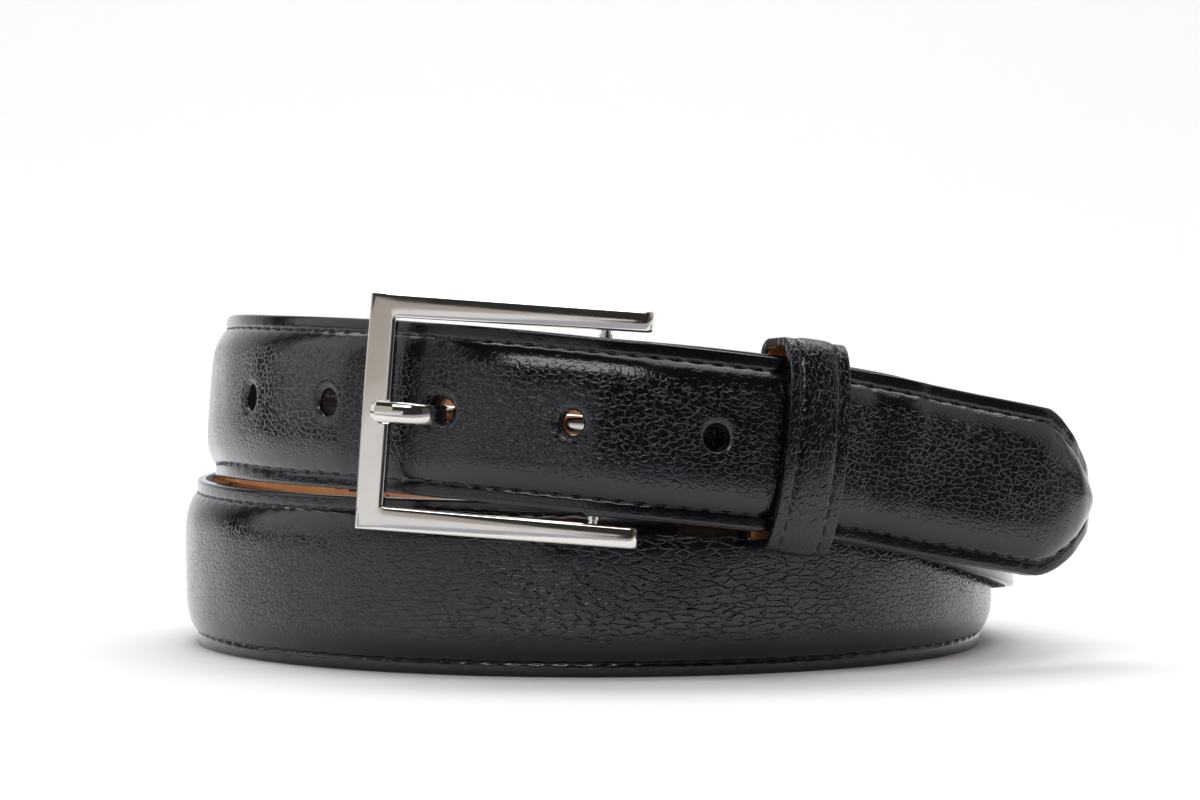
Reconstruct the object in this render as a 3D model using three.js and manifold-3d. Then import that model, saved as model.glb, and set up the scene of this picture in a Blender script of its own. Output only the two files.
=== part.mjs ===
// Leather dress belt, coiled in two turns and buckled. Millimetres, +Z up, +X to the right along the
// buckled front, +Y away from it. The lower turn stands on Z = 0 with its lower edge.

import * as THREE from 'three';
import { mergeVertices } from 'three/addons/utils/BufferGeometryUtils.js';
import Module from 'manifold-3d';

const wasm = await Module();
wasm.setup();

// ---------------------------------------------------------------- driving dimensions

const STRAP_HALF_WIDTH = 15.875;
const TAIL_NARROWING = 0.35;
const NARROWING_START = 560;
const NARROWING_END = 640;

const LINING_THICKNESS = 1.3;
const LAYER_GAP = 0.3;
const PADDING_GAP = 0.4;
const MARGIN_HEIGHT = 3.0;
const LEATHER_THICKNESS = 1.4;
const DOME_HEIGHT = 2.2;
const DOME_PRESSED = 0.9;
const DOME_POWER = 4;
const DOME_SOFTNESS = 1;
const PADDING_REACH = 0.8;

const STITCH_INSET = 2.5;
const GROOVE_HALF_WIDTH = 0.55;
const GROOVE_DEPTH = 0.6;
const LINING_GROOVE_DEPTH = 0.5;
const THREAD_RADIUS = 0.24;
const THREAD_SIDES = 3;

const TIP_LENGTH = 20.5;
const TIP_BLUNT = 0.22;
const TIP_SHOULDER = 0.3;
const TIP_ROUNDING = 0.25;
const ROW_TIP_LENGTH = 18.6;
const ROW_BLUNT = 0.18;

const HOLE_PITCH = 24.8;
const HOLE_RADIUS = 2.3;
const HOLE_SIDES = 12;
const PRONG_HOLE_ANGLE = 700.1;
const PRONG_SLOT_STRETCH = 1.25;
const PRONG_CLEARANCE = 0.35;
const PRONG_LIFTS = [0, 0.8, 1.6];

const PIN_ANGLE = 0.3;
const PIN_RADIUS = 1.0;
const PIN_HALF_LENGTH = 19.6;
const FOLD_CLEARANCE = 0.2;
const FOLD_THICKNESS = 1.0;
const FOLD_LENGTH_ANGLE = 12;
const FOLD_SLOT_HALF_WIDTH = 2.7;
const FOLD_SLOT_REACH = 7.5;

const FRAME_YAW = 8;
const FRAME_LEFT = 42.4;
const FRAME_RIGHT = 8.4;
const FRAME_HALF_HEIGHT = 21.2;
const FRAME_INNER_HALF_HEIGHT = 16.9;
const FRAME_ARM_TAPER = 0.4;
const FRAME_BAR_WIDTH = 4.8;
const FRAME_BACK = -0.4;
const FRAME_DEPTH = 3.2;
const FRAME_BEVEL = 0.7;
const FRAME_CORNER = 0.5;
const NOTCH_RADIUS = 2.5;
const NOTCH_DEPTH = 1.5;

const PRONG_HALF_WIDTH = 1.9;
const EYE_INNER = 1.25;
const EYE_OUTER = 2.35;

const KEEPER_ANGLE = 25;
const KEEPER_LENGTH = 12.2;
const KEEPER_HALF_HEIGHT = 17.2;
const KEEPER_BACK = -1.1;
const KEEPER_SHOULDER = 5.5;
const KEEPER_CROWN = 3.9;
const KEEPER_LINING = 0.6;
const KEEPER_GAP = 0.2;
const KEEPER_LEATHER = 1.1;
const KEEPER_STITCH_INSET = 2.3;
const KEEPER_THREAD = 0.35;
const KEEPER_GROOVE = 0.5;

const SPLIT_ANGLE = 752.5;
const TIP_ANGLE = 789.2;
const SPLIT_GAP = 0.2;

// The strap's route. "turn" runs in degrees from the front of the coil, anticlockwise seen from above.
// "radius" is that of the outer face of the strap's margin, "lift" the height of its lower edge.
const RADIUS_KNOTS = [
  [0, 82.7], [10, 84.1], [37, 84.1], [54, 83.2], [90, 82.1], [135, 81.7], [180, 80.8], [215, 79.9],
  [240, 78.4], [262, 76.6], [280, 76.3], [300, 75.8], [315, 75.7], [450, 75.7], [495, 75.4], [540, 74.6],
  [575, 73.2], [600, 72.6], [625, 72.9], [640, 73.0], [655, 74.2], [668, 75.8], [680, 77.6], [690, 79.7],
  [700, 82.4], [708, 83.9], [715, 84.9], [722, 86.3], [730, 87.6], [753, 87.6], [760, 89.7], [766, 92.5],
  [771, 95.28], [774, 97.02], [777, 98.74], [780, 100.18], [783, 100.94], [786, 101.02], [789.9, 100.13],
];
const LIFT_KNOTS = [
  [0, 29.5], [12, 28.0], [36, 23.2], [51, 19.2], [63, 15.7], [75, 12.8], [90, 10.3], [120, 6.6], [150, 3.9],
  [180, 2.0], [215, 0.6], [250, 0], [455, 0], [490, 1.6], [515, 5.6], [540, 11.8], [570, 20.2],
  [600, 26.6], [615, 29.0], [630, 30.9], [645, 32.4], [660, 32.9], [675, 33.0], [690, 32.8], [700, 32.2],
  [709, 31.4], [722, 29.6], [732, 28.0], [751.5, 24.1], [760, 21.5], [766, 19.7], [771, 18.1], [774, 17.1],
  [777, 16.1], [780, 15.3], [783, 14.6], [786, 13.9], [789.9, 13.3],
];
const LEAN_KNOTS = [
  [0, 3], [12, 4], [36, 4], [90, 3], [180, 0], [540, 0], [600, 2], [630, 4.5], [660, 5], [690, 5], [720, 3],
  [732, 4], [756, 4], [766, 6], [776, 3.5], [789.9, 0.5],
];
// Height of the padded dome along the strap: none at the fold and under the keeper, pressed at the buckle.
const DOME_KNOTS = [
  [0, 0], [33, 0], [47, DOME_HEIGHT], [684, DOME_HEIGHT], [691, DOME_PRESSED], [698, DOME_PRESSED],
  [707, DOME_HEIGHT], [790, DOME_HEIGHT],
];

// ---------------------------------------------------------------- helpers

function smooth(knots) {
  // Monotone cubic interpolation through [x, y] knots.
  const slopes = knots.slice(1).map((k, i) => (k[1] - knots[i][1]) / (k[0] - knots[i][0]));
  const tangents = knots.map((k, i) => {
    if (i === 0) return slopes[0];
    if (i === knots.length - 1) return slopes[i - 1];
    const before = slopes[i - 1];
    const after = slopes[i];
    return before * after <= 0 ? 0 : (2 * before * after) / (before + after);
  });
  return (x) => {
    let i = 0;
    while (i < knots.length - 2 && x > knots[i + 1][0]) i += 1;
    const span = knots[i + 1][0] - knots[i][0];
    const t = THREE.MathUtils.clamp((x - knots[i][0]) / span, 0, 1);
    const rise = knots[i + 1][1] - knots[i][1];
    const a = tangents[i] * span - rise;
    const b = rise - tangents[i + 1] * span;
    return knots[i][1] + rise * t + (1 - t) * t * (a * (1 - t) + b * t);
  };
}

const radiusAt = smooth(RADIUS_KNOTS);
const liftAt = smooth(LIFT_KNOTS);
const leanAt = smooth(LEAN_KNOTS);
const domeAt = smooth(DOME_KNOTS);

function lowerEdge(turn) {
  const angle = THREE.MathUtils.degToRad(turn);
  const radius = radiusAt(turn);
  return new THREE.Vector3(radius * Math.sin(angle), -radius * Math.cos(angle), liftAt(turn));
}

function strapFrame(turn) {
  // Along the strap, outwards from it, and across it towards its upper edge.
  const half = 0.5;
  const along = lowerEdge(turn + half).sub(lowerEdge(turn - half)).normalize();
  const level = new THREE.Vector3(along.x, along.y, 0).normalize();
  const out = new THREE.Vector3(level.y, -level.x, 0);
  const across = new THREE.Vector3().crossVectors(out, along).normalize();
  const lean = THREE.MathUtils.degToRad(leanAt(turn));
  const tiltedAcross = across.clone().multiplyScalar(Math.cos(lean)).addScaledVector(out, -Math.sin(lean));
  const tiltedOut = out.clone().multiplyScalar(Math.cos(lean)).addScaledVector(across, Math.sin(lean));
  return { along, out: tiltedOut, across: tiltedAcross };
}

function onStrap(turn, w, n) {
  // w runs across the strap from its centre line, n outwards from the inner face of its lining.
  const { out, across } = strapFrame(turn);
  return lowerEdge(turn).addScaledVector(across, w + STRAP_HALF_WIDTH).addScaledVector(out, n - MARGIN_HEIGHT);
}

const ARC_STEP = 0.25;
const ARC_TABLE = [0];
for (let turn = ARC_STEP; turn <= TIP_ANGLE; turn += ARC_STEP) {
  const step = onStrap(turn, 0, MARGIN_HEIGHT / 2).distanceTo(onStrap(turn - ARC_STEP, 0, MARGIN_HEIGHT / 2));
  ARC_TABLE.push(ARC_TABLE[ARC_TABLE.length - 1] + step);
}

function lengthAt(turn) {
  const place = THREE.MathUtils.clamp(turn / ARC_STEP, 0, ARC_TABLE.length - 1);
  const index = Math.min(Math.floor(place), ARC_TABLE.length - 2);
  return THREE.MathUtils.lerp(ARC_TABLE[index], ARC_TABLE[index + 1], place - index);
}

function turnAt(length) {
  let index = 0;
  while (index < ARC_TABLE.length - 2 && ARC_TABLE[index + 1] < length) index += 1;
  const part = (length - ARC_TABLE[index]) / (ARC_TABLE[index + 1] - ARC_TABLE[index]);
  return (index + part) * ARC_STEP;
}

const TIP_AT = lengthAt(TIP_ANGLE);

function tipFactor(fromTip, length, blunt) {
  // Share of the full width near the tip: rounded shoulders, slanting sides and a blunt end.
  const share = THREE.MathUtils.clamp(fromTip / length, 0, 1);
  const side = 1 - ((1 + TIP_SHOULDER) * (1 - share) ** 2) / (1 - share + TIP_SHOULDER);
  const end = Math.min(share / TIP_ROUNDING, 1);
  return (1 - blunt) * side + blunt * Math.sqrt(1 - (1 - end) ** 2);
}

function halfWidthAt(turn) {
  const narrowing = THREE.MathUtils.smoothstep(turn, NARROWING_START, NARROWING_END) * TAIL_NARROWING;
  return (STRAP_HALF_WIDTH - narrowing) * tipFactor(TIP_AT - lengthAt(turn), TIP_LENGTH, TIP_BLUNT);
}

function stitchRowAt(turn) {
  const fromTip = TIP_AT - lengthAt(turn);
  const narrowing = THREE.MathUtils.smoothstep(turn, NARROWING_START, NARROWING_END) * TAIL_NARROWING;
  const fullRow = STRAP_HALF_WIDTH - narrowing - STITCH_INSET;
  const row = fullRow * tipFactor(fromTip - STITCH_INSET, ROW_TIP_LENGTH, ROW_BLUNT);
  return Math.max(Math.min(row, halfWidthAt(turn) * 0.85), halfWidthAt(turn) * 0.2);
}

function sweep(rings) {
  // Closed body through rings of equal length. Every quad is split from its lower corner on one ring to
  // its upper corner on the next, so that layers which follow each other keep their distance.
  const count = rings[0].length;
  const positions = rings.flat().flatMap((p) => [p.x, p.y, p.z]);
  const index = [];
  for (let r = 0; r < rings.length - 1; r += 1) {
    for (let k = 0; k < count; k += 1) {
      const a = r * count + k;
      const b = r * count + ((k + 1) % count);
      if (rings[r][k].z < rings[r][(k + 1) % count].z) index.push(a, b, b + count, a, b + count, a + count);
      else index.push(a, b, a + count, b, b + count, a + count);
    }
  }
  const first = rings[0];
  const last = rings[rings.length - 1];
  capTriangles(first).forEach(([a, b, c]) => index.push(a, c, b));
  const base = (rings.length - 1) * count;
  capTriangles(last).forEach(([a, b, c]) => index.push(base + a, base + b, base + c));
  const geometry = new THREE.BufferGeometry();
  geometry.setAttribute('position', new THREE.Float32BufferAttribute(positions, 3));
  geometry.setIndex(index);
  return outwards(geometry);
}

function capTriangles(ring) {
  // Flattens a ring onto its own mean plane and triangulates it.
  const centre = ring.reduce((sum, p) => sum.add(p), new THREE.Vector3()).divideScalar(ring.length);
  const normal = new THREE.Vector3();
  ring.forEach((p, i) => {
    const q = ring[(i + 1) % ring.length];
    normal.add(new THREE.Vector3().crossVectors(p.clone().sub(centre), q.clone().sub(centre)));
  });
  normal.normalize();
  const u = ring[0].clone().sub(centre).projectOnPlane(normal).normalize();
  const v = new THREE.Vector3().crossVectors(normal, u);
  const flat = ring.map((p) => {
    const d = p.clone().sub(centre);
    return new THREE.Vector2(d.dot(u), d.dot(v));
  });
  return THREE.ShapeUtils.triangulateShape(flat, []);
}

function signedVolume(geometry) {
  const position = geometry.attributes.position;
  const index = geometry.index.array;
  const [a, b, c] = [new THREE.Vector3(), new THREE.Vector3(), new THREE.Vector3()];
  let total = 0;
  for (let i = 0; i < index.length; i += 3) {
    a.fromBufferAttribute(position, index[i]);
    b.fromBufferAttribute(position, index[i + 1]);
    c.fromBufferAttribute(position, index[i + 2]);
    total += a.dot(b.cross(c)) / 6;
  }
  return total;
}

function outwards(geometry) {
  if (signedVolume(geometry) >= 0) return geometry;
  const index = geometry.index.array;
  for (let i = 0; i < index.length; i += 3) {
    [index[i], index[i + 1]] = [index[i + 1], index[i]];
  }
  return geometry;
}

function solid(geometry) {
  const bare = geometry.clone();
  bare.deleteAttribute('normal');
  bare.deleteAttribute('uv');
  const welded = outwards(mergeVertices(bare, 1e-4));
  return new wasm.Manifold(new wasm.Mesh({
    numProp: 3,
    vertProperties: new Float32Array(welded.attributes.position.array),
    triVerts: new Uint32Array(welded.index.array),
  }));
}

function toGeometry(body) {
  const mesh = body.getMesh();
  const geometry = new THREE.BufferGeometry();
  geometry.setAttribute('position', new THREE.BufferAttribute(new Float32Array(mesh.vertProperties), 3));
  geometry.setIndex(new THREE.BufferAttribute(new Uint32Array(mesh.triVerts), 1));
  return geometry;
}

function cut(geometry, tools) {
  return toGeometry(tools.reduce((body, tool) => body.subtract(solid(tool)), solid(geometry)));
}

function basisMatrix(x, y, z, origin) {
  return new THREE.Matrix4().makeBasis(x, y, z).setPosition(origin);
}

// ---------------------------------------------------------------- stations and sections of the strap

const COARSE_STEP = 12;
const FINE_STEP = 6;
const FINE_RANGES = [[0, 54], [660, 768]];
const TIP_STATIONS = [1, 0.78, 0.58, 0.4, 0.25, 0.13, 0.045];

function stations(from, to) {
  const list = [from];
  for (let turn = 0; turn < to; turn += FINE_STEP) {
    const fine = FINE_RANGES.some(([low, high]) => turn >= low && turn <= high);
    const wanted = fine || turn % COARSE_STEP === 0;
    if (wanted && turn > from + 1 && turn < to - 1) list.push(turn);
  }
  list.push(to);
  return list;
}

const BODY_STATIONS = stations(PIN_ANGLE + 3.5, SPLIT_ANGLE);
const TIP_START = turnAt(TIP_AT - TIP_LENGTH);
const TAIL_START = turnAt(lengthAt(SPLIT_ANGLE) + SPLIT_GAP);
const TAIL_STATIONS = [
  ...stations(TAIL_START, TIP_START - 0.5).slice(0, -1),
  ...TIP_STATIONS.map((share) => turnAt(TIP_AT - TIP_LENGTH * share)),
];

function domeShape(share) {
  return (1 - Math.abs(share) ** DOME_POWER) ** DOME_SOFTNESS;
}

const OUTER_SHARES = [-1, -0.75, -0.35, 0.35, 0.75, 1];
const SHOULDER_SHARE = 0.6;
const INNER_SHARES = [1, SHOULDER_SHARE, -SHOULDER_SHARE, -1];

function leatherRing(turn, thickness, grooved) {
  const halfWidth = halfWidthAt(turn);
  const row = stitchRowAt(turn);
  const reach = GROOVE_HALF_WIDTH * Math.min(1, row / 4);
  const padded = Math.max(row - reach, 0.02);
  const dome = domeAt(turn) * Math.min(1, (padded / 9) ** 2);
  const groove = grooved ? GROOVE_DEPTH * Math.min(1, row / 4) : 0;
  const under = MARGIN_HEIGHT - thickness;
  const top = OUTER_SHARES.map((share) => [share * padded, MARGIN_HEIGHT + dome * domeShape(share)]);
  const bottom = INNER_SHARES.map((share) => [share * padded, under + dome * domeShape(share)]);
  return [
    [-halfWidth, MARGIN_HEIGHT], [-row - reach, MARGIN_HEIGHT], [-row, MARGIN_HEIGHT - groove],
    ...top,
    [row, MARGIN_HEIGHT - groove], [row + reach, MARGIN_HEIGHT], [halfWidth, MARGIN_HEIGHT],
    [halfWidth, under], ...bottom, [-halfWidth, under],
  ];
}

function paddingRing(turn) {
  const row = stitchRowAt(turn);
  const padded = row - GROOVE_HALF_WIDTH * Math.min(1, row / 4);
  const dome = domeAt(turn) * Math.min(1, (padded / 9) ** 2);
  const floor = LINING_THICKNESS + PADDING_GAP / 2;
  const rest = MARGIN_HEIGHT - LEATHER_THICKNESS - PADDING_GAP;
  const roof = rest + dome * domeShape(SHOULDER_SHARE);
  // The leather's underside runs straight from its shoulder to the stitch row; the edge stays under it.
  const edge = THREE.MathUtils.lerp(roof, rest, (PADDING_REACH - SHOULDER_SHARE) / (1 - SHOULDER_SHARE));
  const edgeRoof = Math.max(edge, floor + 0.1);
  return [
    [-PADDING_REACH * padded, edgeRoof], [-SHOULDER_SHARE * padded, roof], [SHOULDER_SHARE * padded, roof],
    [PADDING_REACH * padded, edgeRoof], [PADDING_REACH * padded, floor], [-PADDING_REACH * padded, floor],
  ];
}

function liningRing(turn) {
  const halfWidth = halfWidthAt(turn);
  const row = stitchRowAt(turn);
  const reach = GROOVE_HALF_WIDTH * Math.min(1, row / 4);
  const groove = LINING_GROOVE_DEPTH * Math.min(1, row / 4);
  const edge = PADDING_REACH * (row - reach);
  return [
    [-halfWidth, LINING_THICKNESS], [-edge, LINING_THICKNESS], [edge, LINING_THICKNESS],
    [halfWidth, LINING_THICKNESS], [halfWidth, 0], [row + reach, 0],
    [row, groove], [row - reach, 0], [-row + reach, 0], [-row, groove], [-row - reach, 0], [-halfWidth, 0],
  ];
}

function threadRing(turn, side, n) {
  const row = side * stitchRowAt(turn);
  const ring = [];
  for (let k = 0; k < THREAD_SIDES; k += 1) {
    const angle = (2 * Math.PI * k) / THREAD_SIDES + (n > 1 ? -Math.PI / 2 : Math.PI / 2);
    ring.push([row + THREAD_RADIUS * Math.cos(angle), n + THREAD_RADIUS * Math.sin(angle)]);
  }
  return ring;
}

function placed(turn, ring) {
  return ring.map(([w, n]) => onStrap(turn, w, n));
}

// ---------------------------------------------------------------- holes

const prongHoleLength = lengthAt(PRONG_HOLE_ANGLE);
const HOLE_TURNS = [-2, -1, 0, 1, 2].map((step) => turnAt(prongHoleLength + step * HOLE_PITCH));

function holeTool(turn, stretch) {
  const { along, out, across } = strapFrame(turn);
  const tool = new THREE.CylinderGeometry(HOLE_RADIUS, HOLE_RADIUS, 14, HOLE_SIDES);
  tool.scale(stretch, 1, 1);
  const centre = onStrap(turn, 0, MARGIN_HEIGHT / 2);
  return tool.applyMatrix4(basisMatrix(along, out, across.clone().negate(), centre));
}

const HOLE_TOOLS = HOLE_TURNS.map((turn, i) => holeTool(turn, i === 2 ? PRONG_SLOT_STRETCH : 1));

// ---------------------------------------------------------------- buckle axes

const pinFrame = strapFrame(PIN_ANGLE);
const pinHeight = MARGIN_HEIGHT - FOLD_THICKNESS - FOLD_CLEARANCE - PIN_RADIUS;
const pinCentre = onStrap(PIN_ANGLE, 0, pinHeight);
const yaw = THREE.MathUtils.degToRad(FRAME_YAW);
const frameAcross = pinFrame.across;
const frameAlong = new THREE.Vector3(Math.cos(yaw), -Math.sin(yaw), 0).projectOnPlane(frameAcross).normalize();
const frameOut = new THREE.Vector3().crossVectors(frameAlong, frameAcross);
// Buckle coordinates: x along the frame towards the tip, y across the strap, z outwards.
const BUCKLE = basisMatrix(frameAlong, frameAcross, frameOut, pinCentre);

// ---------------------------------------------------------------- strap pieces

function foldRings() {
  // End of the outer leather: from behind the strap, round the pin and back to the front.
  const rings = [];
  const section = leatherRing(PIN_ANGLE + 3, FOLD_THICKNESS, false);
  const depth = ([, n]) => (n - (MARGIN_HEIGHT - FOLD_THICKNESS)) / FOLD_THICKNESS;
  const inner = PIN_RADIUS + FOLD_CLEARANCE;
  for (let turn = PIN_ANGLE + FOLD_LENGTH_ANGLE; turn > PIN_ANGLE + 2; turn -= FINE_STEP) {
    rings.push(section.map((p) => onStrap(turn, p[0], pinHeight - inner - depth(p) * FOLD_THICKNESS)));
  }
  const steps = 4;
  for (let k = 0; k <= steps; k += 1) {
    const angle = -Math.PI / 2 + (Math.PI * k) / steps;
    const back = -Math.cos(angle);
    const out = Math.sin(angle);
    rings.push(section.map((p) => {
      const reach = inner + depth(p) * FOLD_THICKNESS;
      return onStrap(PIN_ANGLE, p[0], pinHeight + out * reach).addScaledVector(pinFrame.along, back * reach);
    }));
  }
  return rings;
}

function foldSlot() {
  const slot = new THREE.BoxGeometry(2 * FOLD_SLOT_REACH, 2 * FOLD_SLOT_HALF_WIDTH, 9);
  return slot.applyMatrix4(BUCKLE);
}

const CHAPE_ROWS = [8.5, 11.5];

function chapeThread(turn, halfLength, halfWidth, low, high) {
  const { along, out, across } = strapFrame(turn);
  const geometry = new THREE.BoxGeometry(2 * halfWidth, high - low, 2 * halfLength);
  const centre = onStrap(turn, 0, (low + high) / 2);
  return geometry.applyMatrix4(basisMatrix(along, out, across.clone().negate(), centre));
}

function outerLeather() {
  const rings = [
    ...foldRings(),
    ...BODY_STATIONS.map((turn) => placed(turn, leatherRing(turn, LEATHER_THICKNESS, turn > PIN_ANGLE + 4))),
  ];
  const chapeGrooves = CHAPE_ROWS.map((turn) => chapeThread(turn, 11, 0.4, MARGIN_HEIGHT - 0.55, MARGIN_HEIGHT + 1));
  return cut(sweep(rings), [foldSlot(), ...chapeGrooves, ...HOLE_TOOLS, ...prongTools()]);
}

function outerLeatherTail() {
  return sweep(TAIL_STATIONS.map((turn) => placed(turn, leatherRing(turn, LEATHER_THICKNESS, true))));
}

const LINING_START = 12;

function lining() {
  const turns = [LINING_START, ...BODY_STATIONS.filter((turn) => turn > LINING_START + 1)];
  return cut(sweep(turns.map((turn) => placed(turn, liningRing(turn)))), [...HOLE_TOOLS, ...prongTools()]);
}

function liningTail() {
  return sweep(TAIL_STATIONS.map((turn) => placed(turn, liningRing(turn))));
}

const PADDING_START = 48;
const PADDING_TIP_LEAVE = 9;

function padding() {
  const turns = BODY_STATIONS.filter((turn) => turn >= PADDING_START);
  return cut(sweep(turns.map((turn) => placed(turn, paddingRing(turn)))), [...HOLE_TOOLS, ...prongTools()]);
}

function paddingTail() {
  const last = turnAt(TIP_AT - PADDING_TIP_LEAVE);
  const turns = [...TAIL_STATIONS.filter((turn) => turn < last - 0.5), last];
  return sweep(turns.map((turn) => placed(turn, paddingRing(turn))));
}

const NEEDLE_HEIGHT = MARGIN_HEIGHT - GROOVE_DEPTH + THREAD_RADIUS + 0.12;
const BOBBIN_HEIGHT = LINING_GROOVE_DEPTH - THREAD_RADIUS - 0.12;
const THREAD_TIP_LEAVE = STITCH_INSET + 3.0;

function thread(turns, side, n) {
  return sweep(turns.map((turn) => placed(turn, threadRing(turn, side, n))));
}

const THREAD_BODY = BODY_STATIONS.filter((turn) => turn > LINING_START + 1);
const threadEnd = turnAt(TIP_AT - THREAD_TIP_LEAVE);
const THREAD_TAIL = [...TAIL_STATIONS.filter((turn) => turn < threadEnd - 0.4), threadEnd];

// ---------------------------------------------------------------- buckle pieces

function buckleFrame() {
  const inset = FRAME_BEVEL;
  const left = -FRAME_LEFT + inset;
  const right = FRAME_RIGHT - inset;
  const top = FRAME_HALF_HEIGHT - inset;
  const innerLeft = -FRAME_LEFT + FRAME_BAR_WIDTH - inset;
  const innerTop = FRAME_INNER_HALF_HEIGHT + inset;
  const endTop = innerTop + FRAME_ARM_TAPER;
  const round = 1.2;
  const outline = new THREE.Shape();
  outline.moveTo(left + FRAME_CORNER, -top);
  outline.lineTo(right - round, -top);
  outline.absarc(right - round, -top + round, round, -Math.PI / 2, 0);
  outline.absarc(right - round, -endTop - round, round, 0, Math.PI / 2);
  outline.lineTo(innerLeft, -innerTop);
  outline.lineTo(innerLeft, innerTop);
  outline.lineTo(right - round, endTop);
  outline.absarc(right - round, endTop + round, round, -Math.PI / 2, 0);
  outline.absarc(right - round, top - round, round, 0, Math.PI / 2);
  outline.lineTo(left + FRAME_CORNER, top);
  outline.absarc(left + FRAME_CORNER, top - FRAME_CORNER, FRAME_CORNER, Math.PI / 2, Math.PI);
  outline.absarc(left + FRAME_CORNER, -top + FRAME_CORNER, FRAME_CORNER, Math.PI, 1.5 * Math.PI);
  const body = new THREE.ExtrudeGeometry(outline, {
    depth: FRAME_DEPTH - 2 * FRAME_BEVEL,
    bevelSize: FRAME_BEVEL,
    bevelThickness: FRAME_BEVEL,
    bevelSegments: 1,
    curveSegments: 3,
    steps: 1,
  });
  body.translate(0, 0, FRAME_BACK + FRAME_BEVEL);
  const notch = new THREE.CylinderGeometry(NOTCH_RADIUS, NOTCH_RADIUS, 2 * FRAME_BAR_WIDTH, 12);
  notch.rotateZ(Math.PI / 2);
  const notchHeight = FRAME_BACK + FRAME_DEPTH - NOTCH_DEPTH + NOTCH_RADIUS;
  notch.translate(-FRAME_LEFT + FRAME_BAR_WIDTH / 2, 0, notchHeight);
  const bore = new THREE.CylinderGeometry(PIN_RADIUS + 0.2, PIN_RADIUS + 0.2, 2 * PIN_HALF_LENGTH + 0.4, 14);
  return cut(body, [notch, bore]).applyMatrix4(BUCKLE);
}

function crossbarPin() {
  const pin = new THREE.CylinderGeometry(PIN_RADIUS, PIN_RADIUS, 2 * PIN_HALF_LENGTH, 14);
  return toGeometry(solid(pin)).applyMatrix4(BUCKLE);
}

// Centre line of the prong in buckle coordinates, [towards the frame's bar, outwards], with its thickness.
const PRONG_LINE = [
  [1.6, 0.75, 1.7], [10, 0.4, 1.9], [18, -0.6, 1.9], [23, -1.9, 1.9], [26.4, -1.9, 1.9],
  [29.2, 0.9, 1.8], [32.2, 3.4, 1.9], [36.2, 3.95, 1.9], [39.6, 3.15, 1.8], [41.1, 2.75, 1.3],
];

function prongBar(growth) {
  const curve = new THREE.CatmullRomCurve3(PRONG_LINE.map(([u, v]) => new THREE.Vector3(-u, 0, v)), false, 'centripetal');
  const steps = 18;
  const rings = [];
  for (let k = 0; k <= steps; k += 1) {
    const t = k / steps;
    const p = curve.getPoint(t);
    const along = curve.getTangent(t);
    const out = new THREE.Vector3(-along.z, 0, along.x).multiplyScalar(along.x < 0 ? -1 : 1);
    const place = t * (PRONG_LINE.length - 1);
    const i = Math.min(Math.floor(place), PRONG_LINE.length - 2);
    const thickness = THREE.MathUtils.lerp(PRONG_LINE[i][2], PRONG_LINE[i + 1][2], place - i);
    const end = 1 - 0.45 * THREE.MathUtils.smoothstep(t, 0.93, 1);
    const sides = 8;
    const ring = [];
    for (let s = 0; s < sides; s += 1) {
      const angle = (2 * Math.PI * (s + 0.5)) / sides;
      const squareness = 0.7;
      const c = Math.sign(Math.cos(angle)) * Math.abs(Math.cos(angle)) ** squareness;
      const d = Math.sign(Math.sin(angle)) * Math.abs(Math.sin(angle)) ** squareness;
      ring.push(p.clone().addScaledVector(out, d * (thickness / 2 + growth))
        .add(new THREE.Vector3(0, c * (PRONG_HALF_WIDTH * end + growth), 0)));
    }
    rings.push(ring);
  }
  return sweep(rings);
}

function prong() {
  const eye = new THREE.CylinderGeometry(EYE_OUTER, EYE_OUTER, 2 * PRONG_HALF_WIDTH, 16);
  const bore = new THREE.CylinderGeometry(EYE_INNER, EYE_INNER, 8, 16);
  const body = solid(prongBar(0)).add(solid(eye)).subtract(solid(bore));
  return toGeometry(body).applyMatrix4(BUCKLE);
}

function prongTools() {
  // Room for the prong in the strap, over its whole travel.
  return PRONG_LIFTS.map((lift) => {
    const turned = new THREE.Matrix4().makeRotationY(THREE.MathUtils.degToRad(lift));
    return prongBar(PRONG_CLEARANCE).applyMatrix4(turned).applyMatrix4(BUCKLE);
  });
}

// ---------------------------------------------------------------- keeper pieces

const keeperFrame = strapFrame(KEEPER_ANGLE);
const KEEPER = basisMatrix(
  keeperFrame.across,
  keeperFrame.out,
  keeperFrame.across.clone().cross(keeperFrame.out),
  onStrap(KEEPER_ANGLE, 0, 0),
);

function keeperOutline(target, offset) {
  const halfHeight = KEEPER_HALF_HEIGHT + offset;
  const back = KEEPER_BACK - offset;
  const corner = 0.8 + offset;
  target.moveTo(halfHeight, KEEPER_SHOULDER);
  target.absellipse(0, KEEPER_SHOULDER, halfHeight, KEEPER_CROWN + offset, 0, Math.PI, false, 0);
  target.absarc(-halfHeight + corner, back + corner, corner, Math.PI, 1.5 * Math.PI, false);
  target.absarc(halfHeight - corner, back + corner, corner, 1.5 * Math.PI, 2 * Math.PI, false);
  target.closePath();
  return target;
}

function keeperRing(innerOffset, outerOffset, centre, length) {
  const shape = keeperOutline(new THREE.Shape(), outerOffset);
  shape.holes.push(keeperOutline(new THREE.Path(), innerOffset));
  const ring = new THREE.ExtrudeGeometry(shape, { depth: length, bevelEnabled: false, curveSegments: 6 });
  ring.translate(0, 0, centre - length / 2);
  return ring;
}

const keeperOuterOffset = KEEPER_LINING + KEEPER_GAP + KEEPER_LEATHER;
const keeperRow = KEEPER_LENGTH / 2 - KEEPER_STITCH_INSET;

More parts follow.
